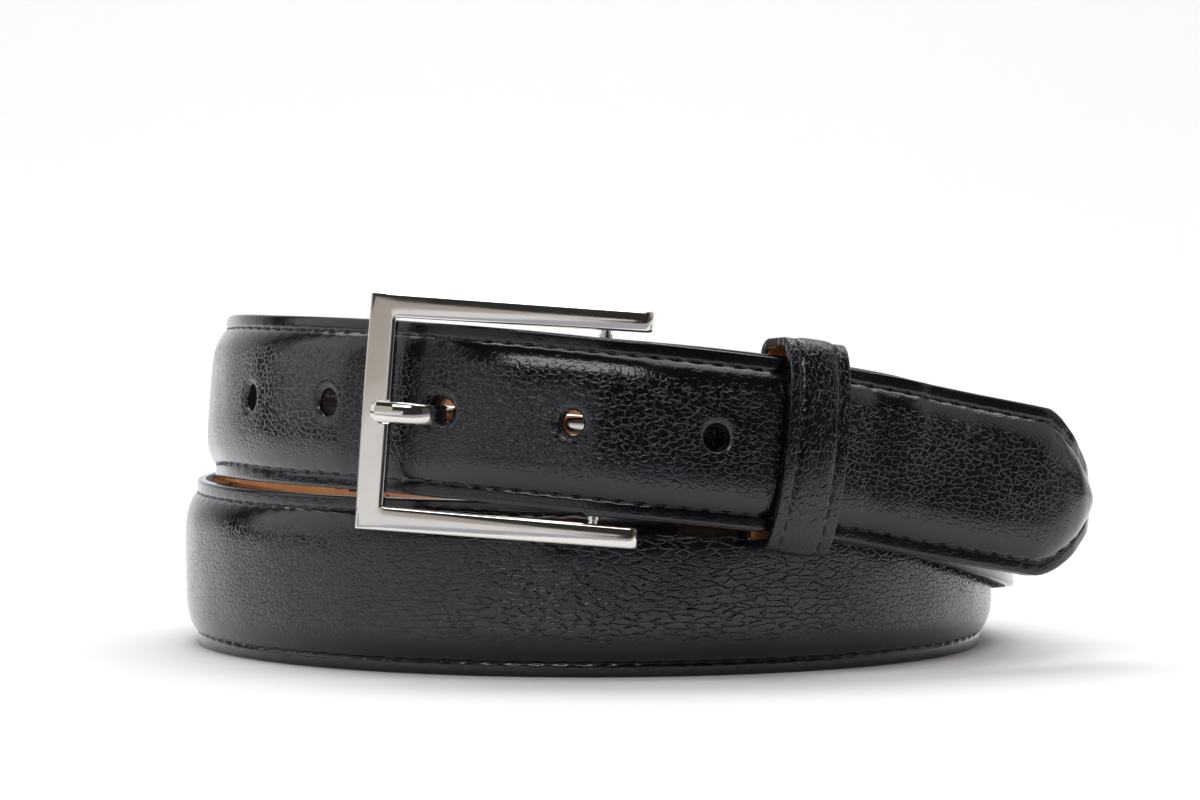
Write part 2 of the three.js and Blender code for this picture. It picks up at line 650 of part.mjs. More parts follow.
function keeperOuter() {
  const body = keeperRing(KEEPER_LINING + KEEPER_GAP, keeperOuterOffset, 0, KEEPER_LENGTH);
  const grooves = [-keeperRow, keeperRow].map((place) => (
    keeperRing(keeperOuterOffset - KEEPER_GROOVE, keeperOuterOffset + 1, place, 0.9)
  ));
  return cut(body, grooves).applyMatrix4(KEEPER);
}

function keeperLining() {
  const body = keeperRing(0, KEEPER_LINING, 0, KEEPER_LENGTH);
  return toGeometry(solid(body)).applyMatrix4(KEEPER);
}

function keeperThread(side) {
  const low = keeperOuterOffset - KEEPER_THREAD;
  const body = keeperRing(low, keeperOuterOffset + 0.05, side * keeperRow, 0.5);
  return toGeometry(solid(body)).applyMatrix4(KEEPER);
}

// ---------------------------------------------------------------- assembly

const blackLeather = { color: 0x14141a, roughness: 0.32, metalness: 0 };
const tanLeather = { color: 0xb5703c, roughness: 0.6, metalness: 0 };
const blackThread = { color: 0x0c0c10, roughness: 0.7, metalness: 0 };
const feltGrey = { color: 0x6e6a64, roughness: 0.9, metalness: 0 };
const nickel = { color: 0xd6d2cb, roughness: 0.1, metalness: 1 };

const belt = new THREE.Group();

function addPiece(name, geometry, look) {
  const mesh = new THREE.Mesh(geometry, new THREE.MeshStandardMaterial(look));
  mesh.name = name;
  belt.add(mesh);
}

addPiece('outer_leather', outerLeather(), blackLeather);
addPiece('outer_leather_tail', outerLeatherTail(), blackLeather);
addPiece('lining', lining(), tanLeather);
addPiece('lining_tail', liningTail(), tanLeather);
addPiece('padding', padding(), feltGrey);
addPiece('padding_tail', paddingTail(), feltGrey);
for (const [row, side] of [['upper', 1], ['lower', -1]]) {
  addPiece(`needle_thread_${row}`, thread(THREAD_BODY, side, NEEDLE_HEIGHT), blackThread);
  addPiece(`needle_thread_${row}_tail`, thread(THREAD_TAIL, side, NEEDLE_HEIGHT), blackThread);
  addPiece(`bobbin_thread_${row}`, thread(THREAD_BODY, side, BOBBIN_HEIGHT), blackThread);
  addPiece(`bobbin_thread_${row}_tail`, thread(THREAD_TAIL, side, BOBBIN_HEIGHT), blackThread);
}
addPiece('chape_thread_near', chapeThread(CHAPE_ROWS[0], 10.7, 0.25, MARGIN_HEIGHT - 0.4, MARGIN_HEIGHT), blackThread);
addPiece('chape_thread_far', chapeThread(CHAPE_ROWS[1], 10.7, 0.25, MARGIN_HEIGHT - 0.4, MARGIN_HEIGHT), blackThread);
addPiece('buckle_frame', buckleFrame(), nickel);
addPiece('crossbar_pin', crossbarPin(), nickel);
addPiece('prong', prong(), nickel);
addPiece('keeper_outer', keeperOuter(), blackLeather);
addPiece('keeper_lining', keeperLining(), tanLeather);
addPiece('keeper_thread_left', keeperThread(-1), blackThread);
addPiece('keeper_thread_right', keeperThread(1), blackThread);

// The origin sits under the middle of the whole belt, on the plane that the belt stands on.
belt.updateMatrixWorld(true);
const whole = new THREE.Box3().setFromObject(belt);
const shift = new THREE.Vector3(-(whole.min.x + whole.max.x) / 2, -(whole.min.y + whole.max.y) / 2, -whole.min.z);
belt.position.copy(shift);

export default belt;
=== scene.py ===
# Leather dress belt, coiled and buckled: looks for the imported part. Lengths in millimetres until
# mesh_object() and metres() turn them into metres.
import math
import random

import bmesh
import bpy
import numpy as np
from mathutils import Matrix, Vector


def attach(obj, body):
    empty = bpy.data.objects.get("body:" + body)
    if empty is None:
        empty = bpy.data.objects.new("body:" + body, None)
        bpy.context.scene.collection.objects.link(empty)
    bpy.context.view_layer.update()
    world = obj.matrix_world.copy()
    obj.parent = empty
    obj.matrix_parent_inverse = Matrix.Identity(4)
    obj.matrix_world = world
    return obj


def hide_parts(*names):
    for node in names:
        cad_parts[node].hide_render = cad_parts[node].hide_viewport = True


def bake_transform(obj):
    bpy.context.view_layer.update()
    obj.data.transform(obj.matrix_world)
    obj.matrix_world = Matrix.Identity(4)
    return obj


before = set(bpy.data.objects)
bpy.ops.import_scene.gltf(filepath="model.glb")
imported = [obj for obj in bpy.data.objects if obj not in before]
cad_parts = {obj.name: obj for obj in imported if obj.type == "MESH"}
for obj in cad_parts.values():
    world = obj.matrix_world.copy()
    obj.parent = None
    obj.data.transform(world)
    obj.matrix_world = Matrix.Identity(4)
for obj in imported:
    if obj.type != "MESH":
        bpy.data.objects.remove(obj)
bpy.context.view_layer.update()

random.seed(7)
SHIFT = np.array([-7.6423, 2.5904, 0.0])

# ---------------------------------------------------------------- route of the strap
HALF_WIDTH = 15.875
TAIL_NARROWING = 0.35
LINING = 1.3
MARGIN = 3.0
DOME = 2.2
STITCH_INSET = 2.5
TIP_LENGTH = 20.5
TIP_BLUNT = 0.22
TIP_SHOULDER = 0.3
TIP_ROUNDING = 0.25
ROW_TIP_LENGTH = 18.6
ROW_BLUNT = 0.18
TIP_ANGLE = 789.2
PIN_ANGLE = 0.3
KEEPER_ANGLE = 25.0
SPLIT_ANGLE = 752.5
SEAM_ANGLE = 745.0
PRONG_HOLE_ANGLE = 700.1
HOLE_PITCH = 24.8
RADIUS_KNOTS = [
    (0, 82.7), (10, 84.1), (37, 84.1), (54, 83.2), (90, 82.1), (135, 81.7), (180, 80.8), (215, 79.9),
    (240, 78.4), (262, 76.6), (280, 76.3), (300, 75.8), (315, 75.7), (450, 75.7), (495, 75.4), (540, 74.6),
    (575, 73.2), (600, 72.6), (625, 72.9), (640, 73.0), (655, 74.2), (668, 75.8), (680, 77.6), (690, 79.7),
    (700, 82.4), (708, 83.9), (715, 84.9), (722, 86.3), (730, 87.6), (753, 87.6), (760, 89.7), (766, 92.5),
    (771, 95.28), (774, 97.02), (777, 98.74), (780, 100.18), (783, 100.94), (786, 101.02), (789.9, 100.13),
]
LIFT_KNOTS = [
    (0, 29.5), (12, 28.0), (36, 23.2), (51, 19.2), (63, 15.7), (75, 12.8), (90, 10.3), (120, 6.6), (150, 3.9),
    (180, 2.0), (215, 0.6), (250, 0), (455, 0), (490, 1.6), (515, 5.6), (540, 11.8), (570, 20.2),
    (600, 26.6), (615, 29.0), (630, 30.9), (645, 32.4), (660, 32.9), (675, 33.0), (690, 32.8), (700, 32.2),
    (709, 31.4), (722, 29.6), (732, 28.0), (751.5, 24.1), (760, 21.5), (766, 19.7), (771, 18.1), (774, 17.1),
    (777, 16.1), (780, 15.3), (783, 14.6), (786, 13.9), (789.9, 13.3),
]
LEAN_KNOTS = [
    (0, 3), (12, 4), (36, 4), (90, 3), (180, 0), (540, 0), (600, 2), (630, 4.5), (660, 5), (690, 5), (720, 3),
    (732, 4), (756, 4), (766, 6), (776, 3.5), (789.9, 0.5),
]
DOME_KNOTS = [
    (0, 0), (33, 0), (47, DOME), (684, DOME), (691, 0.9), (698, 0.9), (707, DOME), (790, DOME),
]


def smooth_through(knots):
    """Monotone cubic interpolation through the knots."""
    x = np.array([k[0] for k in knots], float)
    y = np.array([k[1] for k in knots], float)
    d = np.diff(y) / np.diff(x)
    m = np.empty(len(x))
    m[0], m[-1] = d[0], d[-1]
    before, after = d[:-1], d[1:]
    total = np.where(before + after == 0, 1, before + after)
    m[1:-1] = np.where(before * after <= 0, 0, 2 * before * after / total)

    def at(q):
        q = np.asarray(q, float)
        i = np.clip(np.searchsorted(x, q, side="left") - 1, 0, len(x) - 2)
        span = x[i + 1] - x[i]
        t = np.clip((q - x[i]) / span, 0, 1)
        rise = y[i + 1] - y[i]
        a = m[i] * span - rise
        b = rise - m[i + 1] * span
        return y[i] + rise * t + (1 - t) * t * (a * (1 - t) + b * t)

    return at


radius_at = smooth_through(RADIUS_KNOTS)
lift_at = smooth_through(LIFT_KNOTS)
lean_at = smooth_through(LEAN_KNOTS)
dome_at = smooth_through(DOME_KNOTS)


def unit(v):
    return v / np.linalg.norm(v, axis=-1, keepdims=True)


def lower_edge(turn):
    a = np.radians(turn)
    r = radius_at(turn)
    return np.stack([r * np.sin(a), -r * np.cos(a), lift_at(turn)], -1)


def strap_frame(turn):
    turn = np.asarray(turn, float)
    along = unit(lower_edge(turn + 0.5) - lower_edge(turn - 0.5))
    level = unit(along * np.array([1, 1, 0]))
    out = np.stack([level[..., 1], -level[..., 0], np.zeros(turn.shape)], -1)
    across = unit(np.cross(out, along))
    lean = np.radians(lean_at(turn))[..., None]
    return along, out * np.cos(lean) + across * np.sin(lean), across * np.cos(lean) - out * np.sin(lean)


def on_strap(turn, w, n):
    """w across the strap from its centre line, n outwards from the lining's inner face."""
    turn, w, n = np.broadcast_arrays(np.asarray(turn, float), w, n)
    _, out, across = strap_frame(turn)
    return lower_edge(turn) + across * (w + HALF_WIDTH)[..., None] + out * (n - MARGIN)[..., None]


ARC_TURNS = np.arange(0, TIP_ANGLE + 0.01, 0.25)
_mid = on_strap(ARC_TURNS, 0.0, MARGIN / 2)
ARC = np.concatenate([[0], np.cumsum(np.linalg.norm(np.diff(_mid, axis=0), axis=1))])


def length_at(turn):
    return np.interp(turn, ARC_TURNS, ARC)


def turn_at(length):
    return np.interp(length, ARC, ARC_TURNS)


TIP_AT = float(length_at(TIP_ANGLE))


def smoothstep(x, low, high):
    t = np.clip((np.asarray(x, float) - low) / (high - low), 0, 1)
    return t * t * (3 - 2 * t)


def tip_factor(from_tip, length, blunt):
    """Share of the full width near the tip: rounded shoulders, slanting sides and a blunt end."""
    share = np.clip(from_tip / length, 0, 1)
    side = 1 - (1 + TIP_SHOULDER) * (1 - share) ** 2 / (1 - share + TIP_SHOULDER)
    return (1 - blunt) * side + blunt * np.sqrt(1 - (1 - np.clip(share / TIP_ROUNDING, 0, 1)) ** 2)


def narrowing(s):
    return smoothstep(turn_at(s), 560, 640) * TAIL_NARROWING


def half_width(s):
    return (HALF_WIDTH - narrowing(s)) * tip_factor(TIP_AT - s, TIP_LENGTH, TIP_BLUNT)


def stitch_row(s):
    from_row = TIP_AT - s - STITCH_INSET
    return (HALF_WIDTH - narrowing(s) - STITCH_INSET) * tip_factor(from_row, ROW_TIP_LENGTH, ROW_BLUNT)


# ---------------------------------------------------------------- meshes
def mesh_object(name, points, faces, material, uv=None, sharp=40, attributes=None):
    """points in millimetres in the coil's coordinates."""
    mesh = bpy.data.meshes.new(name)
    co = (np.asarray(points, float) + SHIFT) / 1000
    mesh.from_pydata(co.tolist(), [], [tuple(int(i) for i in f) for f in faces])
    if uv is not None:
        layer = mesh.uv_layers.new(name="strap")
        loops = np.empty(len(mesh.loops), int)
        mesh.loops.foreach_get("vertex_index", loops)
        layer.data.foreach_set("uv", np.asarray(uv, float)[loops].ravel() / 1000)
    for key, values in (attributes or {}).items():
        a = mesh.attributes.new(key, "FLOAT", "POINT")
        a.data.foreach_set("value", np.asarray(values, np.float32))
    obj = bpy.data.objects.new(name, mesh)
    bpy.context.scene.collection.objects.link(obj)
    mesh.materials.append(material)
    shade(obj, sharp)
    return obj


def shade(obj, sharp):
    bm = bmesh.new()
    bm.from_mesh(obj.data)
    bmesh.ops.recalc_face_normals(bm, faces=bm.faces)
    limit = math.radians(sharp)
    for f in bm.faces:
        f.smooth = True
    for e in bm.edges:
        e.smooth = len(e.link_faces) != 2 or e.calc_face_angle(0.0) < limit
    bm.to_mesh(obj.data)
    bm.free()


def tube_faces(rings, sides, closed=False, start=0):
    """Quads between rings of numbered points; an open tube also gets a face on each end."""
    faces = []
    for r in range(rings if closed else rings - 1):
        n = (r + 1) % rings
        for k in range(sides):
            m = (k + 1) % sides
            quad = (r * sides + k, r * sides + m, n * sides + m, n * sides + k)
            faces.append(tuple(start + v for v in quad))
    if not closed:
        faces.append(tuple(range(sides)))
        faces.append(tuple(range((rings - 1) * sides, rings * sides)))
    return faces


def running_length(points):
    """Length along a line up to each of its points."""
    return np.concatenate([[0], np.cumsum(np.linalg.norm(np.diff(points, axis=0), axis=1))])


class Builder:
    """Collects strap points given as station position, w and height, with their faces."""

    def __init__(self):
        self.points, self.uv, self.faces, self.wear_paint_and_shade = [], [], [], []

    def add(self, points, uv, wear_paint_and_shade=None):
        start = sum(len(p) for p in self.points)
        points = np.asarray(points, float).reshape(-1, 3)
        self.points.append(points)
        self.uv.append(np.asarray(uv, float).reshape(-1, 2))
        self.wear_paint_and_shade.append(np.zeros(len(points)) if wear_paint_and_shade is None else np.asarray(wear_paint_and_shade, float).ravel())
        return np.arange(start, start + len(points))

    def grid(self, index, skip=()):
        """Quads over a 2-D array of point numbers, leaving out blocks (i0, i1, j0, j1) of cells."""
        a, b, c, d = index[:-1, :-1], index[1:, :-1], index[1:, 1:], index[:-1, 1:]
        keep = np.ones(a.shape, bool)
        for i0, i1, j0, j1 in skip:
            keep[i0:i1, j0:j1] = False
        self.faces += np.stack([a[keep], b[keep], c[keep], d[keep]], 1).tolist()

    def ribbon(self, first, second, closed=False):
        n = len(first)
        for k in range(n if closed else n - 1):
            m = (k + 1) % n
            self.faces.append([first[k], first[m], second[m], second[k]])

    def build(self, name, material, sharp=40):
        points = np.concatenate(self.points)
        used = np.unique(np.array([i for f in self.faces for i in f]))
        renumber = np.full(len(points), -1)
        renumber[used] = np.arange(len(used))
        faces = [[renumber[i] for i in f] for f in self.faces]
        uv = np.concatenate(self.uv)[used]
        wear_paint_and_shade = np.concatenate(self.wear_paint_and_shade)[used]
        return mesh_object(name, points[used], faces, material, uv, sharp, {"wear_paint_and_shade": wear_paint_and_shade})


def block_loop(index, block):
    """Point numbers round a block of cells, and their (i, j) places."""
    i0, i1, j0, j1 = block
    loop = [(i, j0) for i in range(i0, i1)] + [(i1, j) for j in range(j0, j1)]
    loop += [(i, j1) for i in range(i1, i0, -1)] + [(i0, j) for j in range(j1, j0, -1)]
    return [int(index[i, j]) for i, j in loop], loop


# ---------------------------------------------------------------- section of the strap
NEAR_TIP = 40
ROW_TIP = np.linspace(TIP_AT - NEAR_TIP, TIP_AT - STITCH_INSET, 400)[::3]
EDGE_TIP = np.linspace(TIP_AT - NEAR_TIP, TIP_AT - 1, 350)
EDGE_TIP = np.concatenate([EDGE_TIP, TIP_AT - np.linspace(0.99, 0, 60) ** 1.4])[::3]
DOME_POWER = 5.5
DOME_SOFTNESS = 1.05
DOME_RUN = HALF_WIDTH - STITCH_INSET - 0.075
RIM_RADIUS = 0.5


def distance_to(line_s, line_w, s, w):
    p = np.stack([s.ravel(), w.ravel()], 1)
    q = np.stack([line_s, line_w], 1)
    best = np.full(len(p), 1e9)
    for a, b in zip(q[:-1], q[1:]):
        d = b - a
        t = np.clip(((p - a) @ d) / max(d @ d, 1e-12), 0, 1)
        best = np.minimum(best, np.linalg.norm(p - a - t[:, None] * d, axis=1))
    return best.reshape(s.shape)


def inside_fields(s, w):
    """Distance in from the strap's edge, and from the stitch row inwards (negative on the margin)."""
    s, w = np.broadcast_arrays(np.asarray(s, float), np.asarray(w, float))
    edge = half_width(s) - np.abs(w)
    row = stitch_row(s) - np.abs(w)
    near = s > TIP_AT - 24
    if near.any():
        sn, wn = s[near], np.abs(w[near])
        edge[near] = distance_to(EDGE_TIP, half_width(EDGE_TIP), sn, wn)
        d = distance_to(ROW_TIP, stitch_row(ROW_TIP), sn, wn)
        row[near] = np.where((wn < stitch_row(sn)) & (sn < TIP_AT - STITCH_INSET), d, -d)
    return edge, row


STITCH_PITCH = 4.25
STITCH_PITCH_TIP = 3.75
PITCH_CHANGE = float(length_at(690))


def stitch_phase(s):
    """Stitch number along the row, for puckers and stitches alike."""
    past = np.asarray(s, float) - PITCH_CHANGE
    return np.where(past < 0, past / STITCH_PITCH, past / STITCH_PITCH_TIP)


def outer_height(s, w, stitched=True):
    """Height of the leather's face over the margin's level."""
    edge, row = inside_fields(s, w)
    turn = turn_at(s)
    share = np.clip(1 - row / DOME_RUN, 0, 1)
    dome = dome_at(turn) * (1 - share ** DOME_POWER) ** DOME_SOFTNESS * (row > 0)
    e = np.clip(edge / RIM_RADIUS, 0, 1)
    rim = -0.4 * (1 - np.sqrt(np.clip(1 - (1 - e) ** 2, 0, 1)))
    roll = -0.06 * np.clip(1 - edge / 1.6, 0, 1) ** 2
    if stitched:
        pull = 0.5 + 0.5 * np.cos(2 * np.pi * stitch_phase(s))
        groove = -(0.14 + 0.26 * pull ** 3) * np.exp(-((row - 0.05) / 0.3) ** 2)
        pucker = 0.05 * (0.5 - pull) * np.exp(-((row - 0.8) / 0.7) ** 2)
        pucker = pucker + 0.03 * (0.5 - pull) * np.exp(-((row + 0.8) / 0.5) ** 2)
    else:
        groove, pucker = 0, 0
    swell = 0.05 * np.sin(s * 0.31 + 1.7) * np.sin(s * 0.117 + w * 0.2) * smoothstep(row, 1.5, 6)
    return dome + rim + roll + groove + pucker + swell


HOLES = [float(length_at(PRONG_HOLE_ANGLE)) + k * HOLE_PITCH for k in (-2, -1, 0, 1, 2)]
PRONG_HOLE = 2
HOLE_R = 2.2
HOLE_REACH = 4.4


def hole_shape(k, angle):
    """Outline of a hole in (along, across), the worn one stretched towards the pin."""
    x, y = HOLE_R * math.cos(angle), HOLE_R * 1.06 * math.sin(angle)
    if k == PRONG_HOLE:
        x = x * 1.05 + (1.1 if x > 0 else -0.35)
        y *= 1.02
    return x, y


def hole_dent(r):
    """Lip and worn ring round a hole, by distance from its edge."""
    return -0.55 * np.exp(-r / 0.28) - 0.3 * np.clip(1 - r / 1.5, 0, 1) ** 1.5


def shares(insets):
    """Shares of the half width from edge to edge, from distances in from the edge."""
    half = [1 - inset / HALF_WIDTH for inset in insets]
    return np.array([-share for share in half] + [0.0] + half[::-1])


def stations_on_holes(s):
    """Moves the nearest station onto each hole's middle."""
    for hole in HOLES:
        if s[0] < hole < s[-1]:
            s[np.argmin(np.abs(s - hole))] = hole
    return s


OUTER_SHARE = shares([
    0, 0.05, 0.14, 0.28, 0.45, 0.65, 0.95, 1.35, 1.7, 1.95, 2.15, 2.3, 2.42, 2.54, 2.68, 2.85, 3.1, 3.4,
    3.8, 4.25, 4.75, 5.3, 5.9, 6.5, 7.15, 7.8, 8.5, 9.2, 9.9, 10.6, 11.3, 12.0, 12.8, 13.6, 14.4, 15.1,
])


def station_lengths(start, end, step):
    """Stations along the strap, closer together at the tip."""
    fine = TIP_AT - TIP_LENGTH - 1.5
    if end < fine:
        return np.linspace(start, end, int(round((end - start) / step)) + 1)
    plain = np.linspace(start, fine, int(round((fine - start) / step)) + 1)
    t = np.linspace(0, 1, 46)[1:]
    return np.concatenate([plain, fine + (end - 0.004 - fine) * (1 - (1 - t) ** 1.7)])


PIN_HEIGHT = MARGIN - 1.0 - 0.2 - 1.0
FOLD_REACH = 1.2
FOLD_THICK = 1.0
FOLD_END = 12.3


def fold_points(kind, value, w, h):
    """Points of the fold round the pin; h is the height over the grain side's level."""
    w = np.asarray(w, float)
    if kind == "front":
        return on_strap(value, w, MARGIN + h)
    if kind == "back":
        return on_strap(value, w, PIN_HEIGHT - FOLD_REACH - FOLD_THICK - h)
    along, out, _ = strap_frame(PIN_ANGLE)
    reach = (FOLD_REACH + FOLD_THICK + h)[..., None]
    return on_strap(PIN_ANGLE, w, PIN_HEIGHT) + (-math.cos(value) * along + math.sin(value) * out) * reach


FOLD_FADE = (6, 9)
SLOT_BEHIND = 10.4
SLOT_AHEAD = 7.3
HOLE_RINGS = [0.12, 0.25, 0.38, 0.5, 0.61, 0.71, 0.8, 0.87, 0.93, 0.97, 1.0]
HOLE_LIP = 0.85
UNDER = LINING + 0.05
UNDER_FOLD = MARGIN - FOLD_THICK


def fold_plan(start):
    """Rows of the fold, from its cut end behind the pin, round the pin, to where the strap starts."""
    back = np.arange(FOLD_END, PIN_ANGLE, -0.45)
    around = np.linspace(-math.pi / 2, math.pi / 2, 15)
    front = np.linspace(PIN_ANGLE, turn_at(start), 7)[1:-1]
    return [("back", v) for v in back] + [("round", v) for v in around] + [("front", v) for v in front]


def hole_in_leather(b, k, hole, index, block, s, uv):
    """Rings from a block of cells down to a hole's lip, and the hole's wall."""
    ring, places = block_loop(index, block)
    outline = np.array([[s[i], uv[i, j, 1]] for i, j in places])
    angles = np.arctan2(outline[:, 1], outline[:, 0] - hole)
    inner = np.array([hole_shape(k, a) for a in angles]) + [hole, 0]
    for t in HOLE_RINGS:
        sw = outline * (1 - t) + inner * t
        gap = np.linalg.norm(sw - inner, axis=1)
        h = outer_height(sw[:, 0], sw[:, 1], False) + hole_dent(gap)
        worn = np.clip(1 - gap / 1.1, 0, 1) * (gap > 0.15)
        ids = b.add(on_strap(turn_at(sw[:, 0]), sw[:, 1], MARGIN + h), sw, worn)
        b.ribbon(ring, ids, closed=True)
        ring = ids
    top = outer_height(inner[:, 0], inner[:, 1], False) - HOLE_LIP
    for level in (0.85, 0.55, 0.25, 0.0):
        n = (LINING - 0.05) * (1 - level) + (MARGIN + top) * level
        ids = b.add(on_strap(turn_at(inner[:, 0]), inner[:, 1], n), inner, np.full(len(inner), -1.0))
        b.ribbon(ring, ids, closed=True)
        ring = ids


def strap_leather(name, start, end, with_fold, material):
    """The black face with its holes; it starts with the fold round the pin, and is open on the glued side."""
    b = Builder()
    step = 0.7
    s = stations_on_holes(station_lengths(start, end, step))
    w = half_width(s)[:, None] * OUTER_SHARE[None, :]
    S = np.broadcast_to(s[:, None], w.shape)
    h = outer_height(S, w)
    if with_fold:
        fade = smoothstep(S, *length_at(FOLD_FADE))
        h = h * fade + outer_height(S, w, stitched=False) * (1 - fade)
    points = on_strap(turn_at(S), w, MARGIN + h)
    uv = np.stack([S, w], -1)
    centre = len(OUTER_SHARE) // 2
    s_all, n_fold, row = s, 0, w[0]
    if with_fold:
        plan = fold_plan(start)
        base = outer_height(np.full(row.shape, 60.0), row, stitched=False)
        base = np.where(np.abs(row) > HALF_WIDTH - STITCH_INSET - 0.375, np.minimum(base, 0), 0.0)
        rings = np.array([fold_points(kind, value, row, base) for kind, value in plan])
        lead = np.linalg.norm(rings[-1, centre] - points[0, centre])
        lengths = np.linalg.norm(np.diff(rings[:, centre], axis=0), axis=1)
        place = s[0] - lead - np.concatenate([np.cumsum(lengths[::-1])[::-1], [0]])
        n_fold = len(rings)
        fold_uv = np.stack([np.repeat(place[:, None], len(row), 1), np.repeat(row[None], n_fold, 0)], -1)
        points = np.concatenate([rings, points])
        uv = np.concatenate([fold_uv, uv])
        s_all = np.concatenate([place, s])
    index = b.add(points, uv).reshape(points.shape[:2])
    blocks = []
    for k, hole in enumerate(HOLES):
        if start < hole < end:
            at = n_fold + int(np.argmin(np.abs(s - hole)))
            reach = int(round(HOLE_REACH / step)) + (k == PRONG_HOLE)
            blocks.append((at - reach, at + reach, centre - 6, centre + 6))
            hole_in_leather(b, k, hole, index, blocks[-1], s_all, uv)
    # The glued side: full width at the fold, two strips beyond it.
    full = 0
    under_n = np.full(len(s), UNDER)
    if with_fold:
        under_n = UNDER_FOLD + (UNDER - UNDER_FOLD) * smoothstep(turn_at(s), 6, 9.5)
        full = n_fold + int(np.argmin(np.abs(turn_at(s) - 10.5)))
    under = np.empty(points.shape)
    under[n_fold:] = on_strap(turn_at(S), w, np.broadcast_to(under_n[:, None], w.shape))
    edges = (0, len(OUTER_SHARE) - 1)
    if with_fold:
        for r, (kind, value) in enumerate(plan):
            under[r] = fold_points(kind, value, row, np.full(row.shape, -FOLD_THICK))
        # Slot in the fold for the prong.
        ends = [length_at(PIN_ANGLE) - SLOT_BEHIND, length_at(PIN_ANGLE) + SLOT_AHEAD]
        i0, i1 = [int(np.argmin(np.abs(s_all - x))) for x in ends]
        slot = (i0, i1, centre - 4, centre + 4)
        blocks.append(slot)
        below = b.add(under[:full + 1], uv[:full + 1]).reshape(full + 1, -1)
        b.grid(below, [slot])
        loop, places = block_loop(index, slot)
        b.ribbon(loop, [int(below[i, j]) for i, j in places], closed=True)
        b.ribbon(index[0].tolist(), below[0].tolist())
        for edge in edges:
            b.grid(np.stack([index[:full + 1, edge], below[:, edge]], 1))
    b.grid(index, blocks)
    wide = np.abs(OUTER_SHARE) > 0.45
    low = np.flatnonzero(wide & (OUTER_SHARE < 0))[::4]
    high = np.flatnonzero(wide & (OUTER_SHARE > 0))[::-1][::4]
    for group in (low, high):
        ids = b.add(under[full:, group], uv[full:, group]).reshape(len(under) - full, -1)
        b.grid(ids)
        b.grid(np.stack([index[full:, group[0]], ids[:, 0]], 1))
    return b.build(name, material, sharp=60)


LINING_SHARE = shares([0, 0.12, 0.5, 1.2, 1.9, 2.2, 2.5, 2.8, 3.1, 4.0, 6.0, 8.5, 9.95, 10.9, 12.3, 14.0])


def hole_in_lining(b, k, hole, index, block, s, w):
    """Rings from a block of cells down to a hole, the prong's stretched into a slot, and its wall."""
    ring, places = block_loop(index, block)
    outline = np.array([[s[i], w[i, j]] for i, j in places])
    angles = np.arctan2(outline[:, 1], outline[:, 0] - hole)
    inner = np.array([hole_shape(k, a) for a in angles])
    if k == PRONG_HOLE:
        inner = inner * [1.42, 1.4] + [2.3, -0.7]
    inner = inner * 1.02 + [hole, 0]
    for t in [0.5, 0.8, 0.93, 1.0]:
        sw = outline * (1 - t) + inner * t
        # The ring at the hole and the wall below it get 1, which the tan look turns black: painted shade in
        # the hole.
        at_hole = float(t == 1.0)
        ids = b.add(on_strap(turn_at(sw[:, 0]), sw[:, 1], 0.2 * at_hole), sw, np.full(len(sw), at_hole))
        b.ribbon(ring, ids, closed=True)
        ring = ids
    # The hole's wall, black as well: painted shade.
    ids = b.add(on_strap(turn_at(inner[:, 0]), inner[:, 1], LINING), inner, np.full(len(inner), 1.0))
    b.ribbon(ring, ids, closed=True)


def strap_lining(name, start, end, material):
    """The tan back strip; its attribute tells where the edges are painted black, and where the hole walls are
    painted black as painted shade in the holes.
    """
    b = Builder()
    s = stations_on_holes(station_lengths(start, end, 1.3))
    w = half_width(s)[:, None] * LINING_SHARE[None, :]
    S = np.broadcast_to(s[:, None], w.shape)
    edge, row = inside_fields(S, w)
    pull = 0.5 + 0.5 * np.cos(2 * np.pi * (stitch_phase(S) + 0.5))
    n = 0.22 * np.clip(1 - edge / 0.5, 0, 1) ** 2 + (0.16 + 0.16 * pull) * np.exp(-(row / 0.5) ** 2)
    # The lower edge is left raw where it shows below the upper turn.
    painted = np.zeros(w.shape)
    painted[:, -2:] = 1.0
    painted[:, 0] = smoothstep(s, length_at(738), length_at(744))
    painted[:, 0] += 1 - smoothstep(s, length_at(300), length_at(330))
    uv = np.stack([S, w], -1)
    index = b.add(on_strap(turn_at(S), w, n), uv, painted).reshape(w.shape)
    centre = len(LINING_SHARE) // 2
    blocks = []
    for k, hole in enumerate(HOLES):
        if start < hole < end:
            at = int(np.argmin(np.abs(s - hole)))
            blocks.append((at - 4, at + (7 if k == PRONG_HOLE else 4), centre - 4, centre + 4))
            hole_in_lining(b, k, hole, index, blocks[-1], s, w)
    b.grid(index, blocks)
    # Edges and the glued side, left open over the holes.
    under = on_strap(turn_at(S), w, LINING)
    last = len(LINING_SHARE) - 1
    for group in ([0, 2, 4], [last, last - 2, last - 4]):
        paint = np.repeat(painted[:, group[:1]], len(group), 1)
        ids = b.add(under[:, group], uv[:, group], paint).reshape(len(s), -1)
        b.grid(ids)
        b.grid(np.stack([index[:, group[0]], ids[:, 0]], 1))
    for i in (0, len(s) - 1):
        b.ribbon(index[i].tolist(), b.add(under[i], uv[i]).tolist())
    return b.build(name, material, sharp=50)


# ---------------------------------------------------------------- stitches
def capsule(sides=7, rings=9):
    """A stitch of length and radius 1 along x, lying on z = 0."""
    points = []
    for r in range(rings):
        t = -1 + 2 * r / (rings - 1)
        size = math.sqrt(max(1 - abs(t) ** 4, 0.03))
        for k in range(sides):
            a = 2 * math.pi * k / sides
            points.append((t / 2, size * math.cos(a) * 1.1, size * math.sin(a)))
    return np.array(points), tube_faces(rings, sides)


STITCH, STITCH_FACES = capsule()


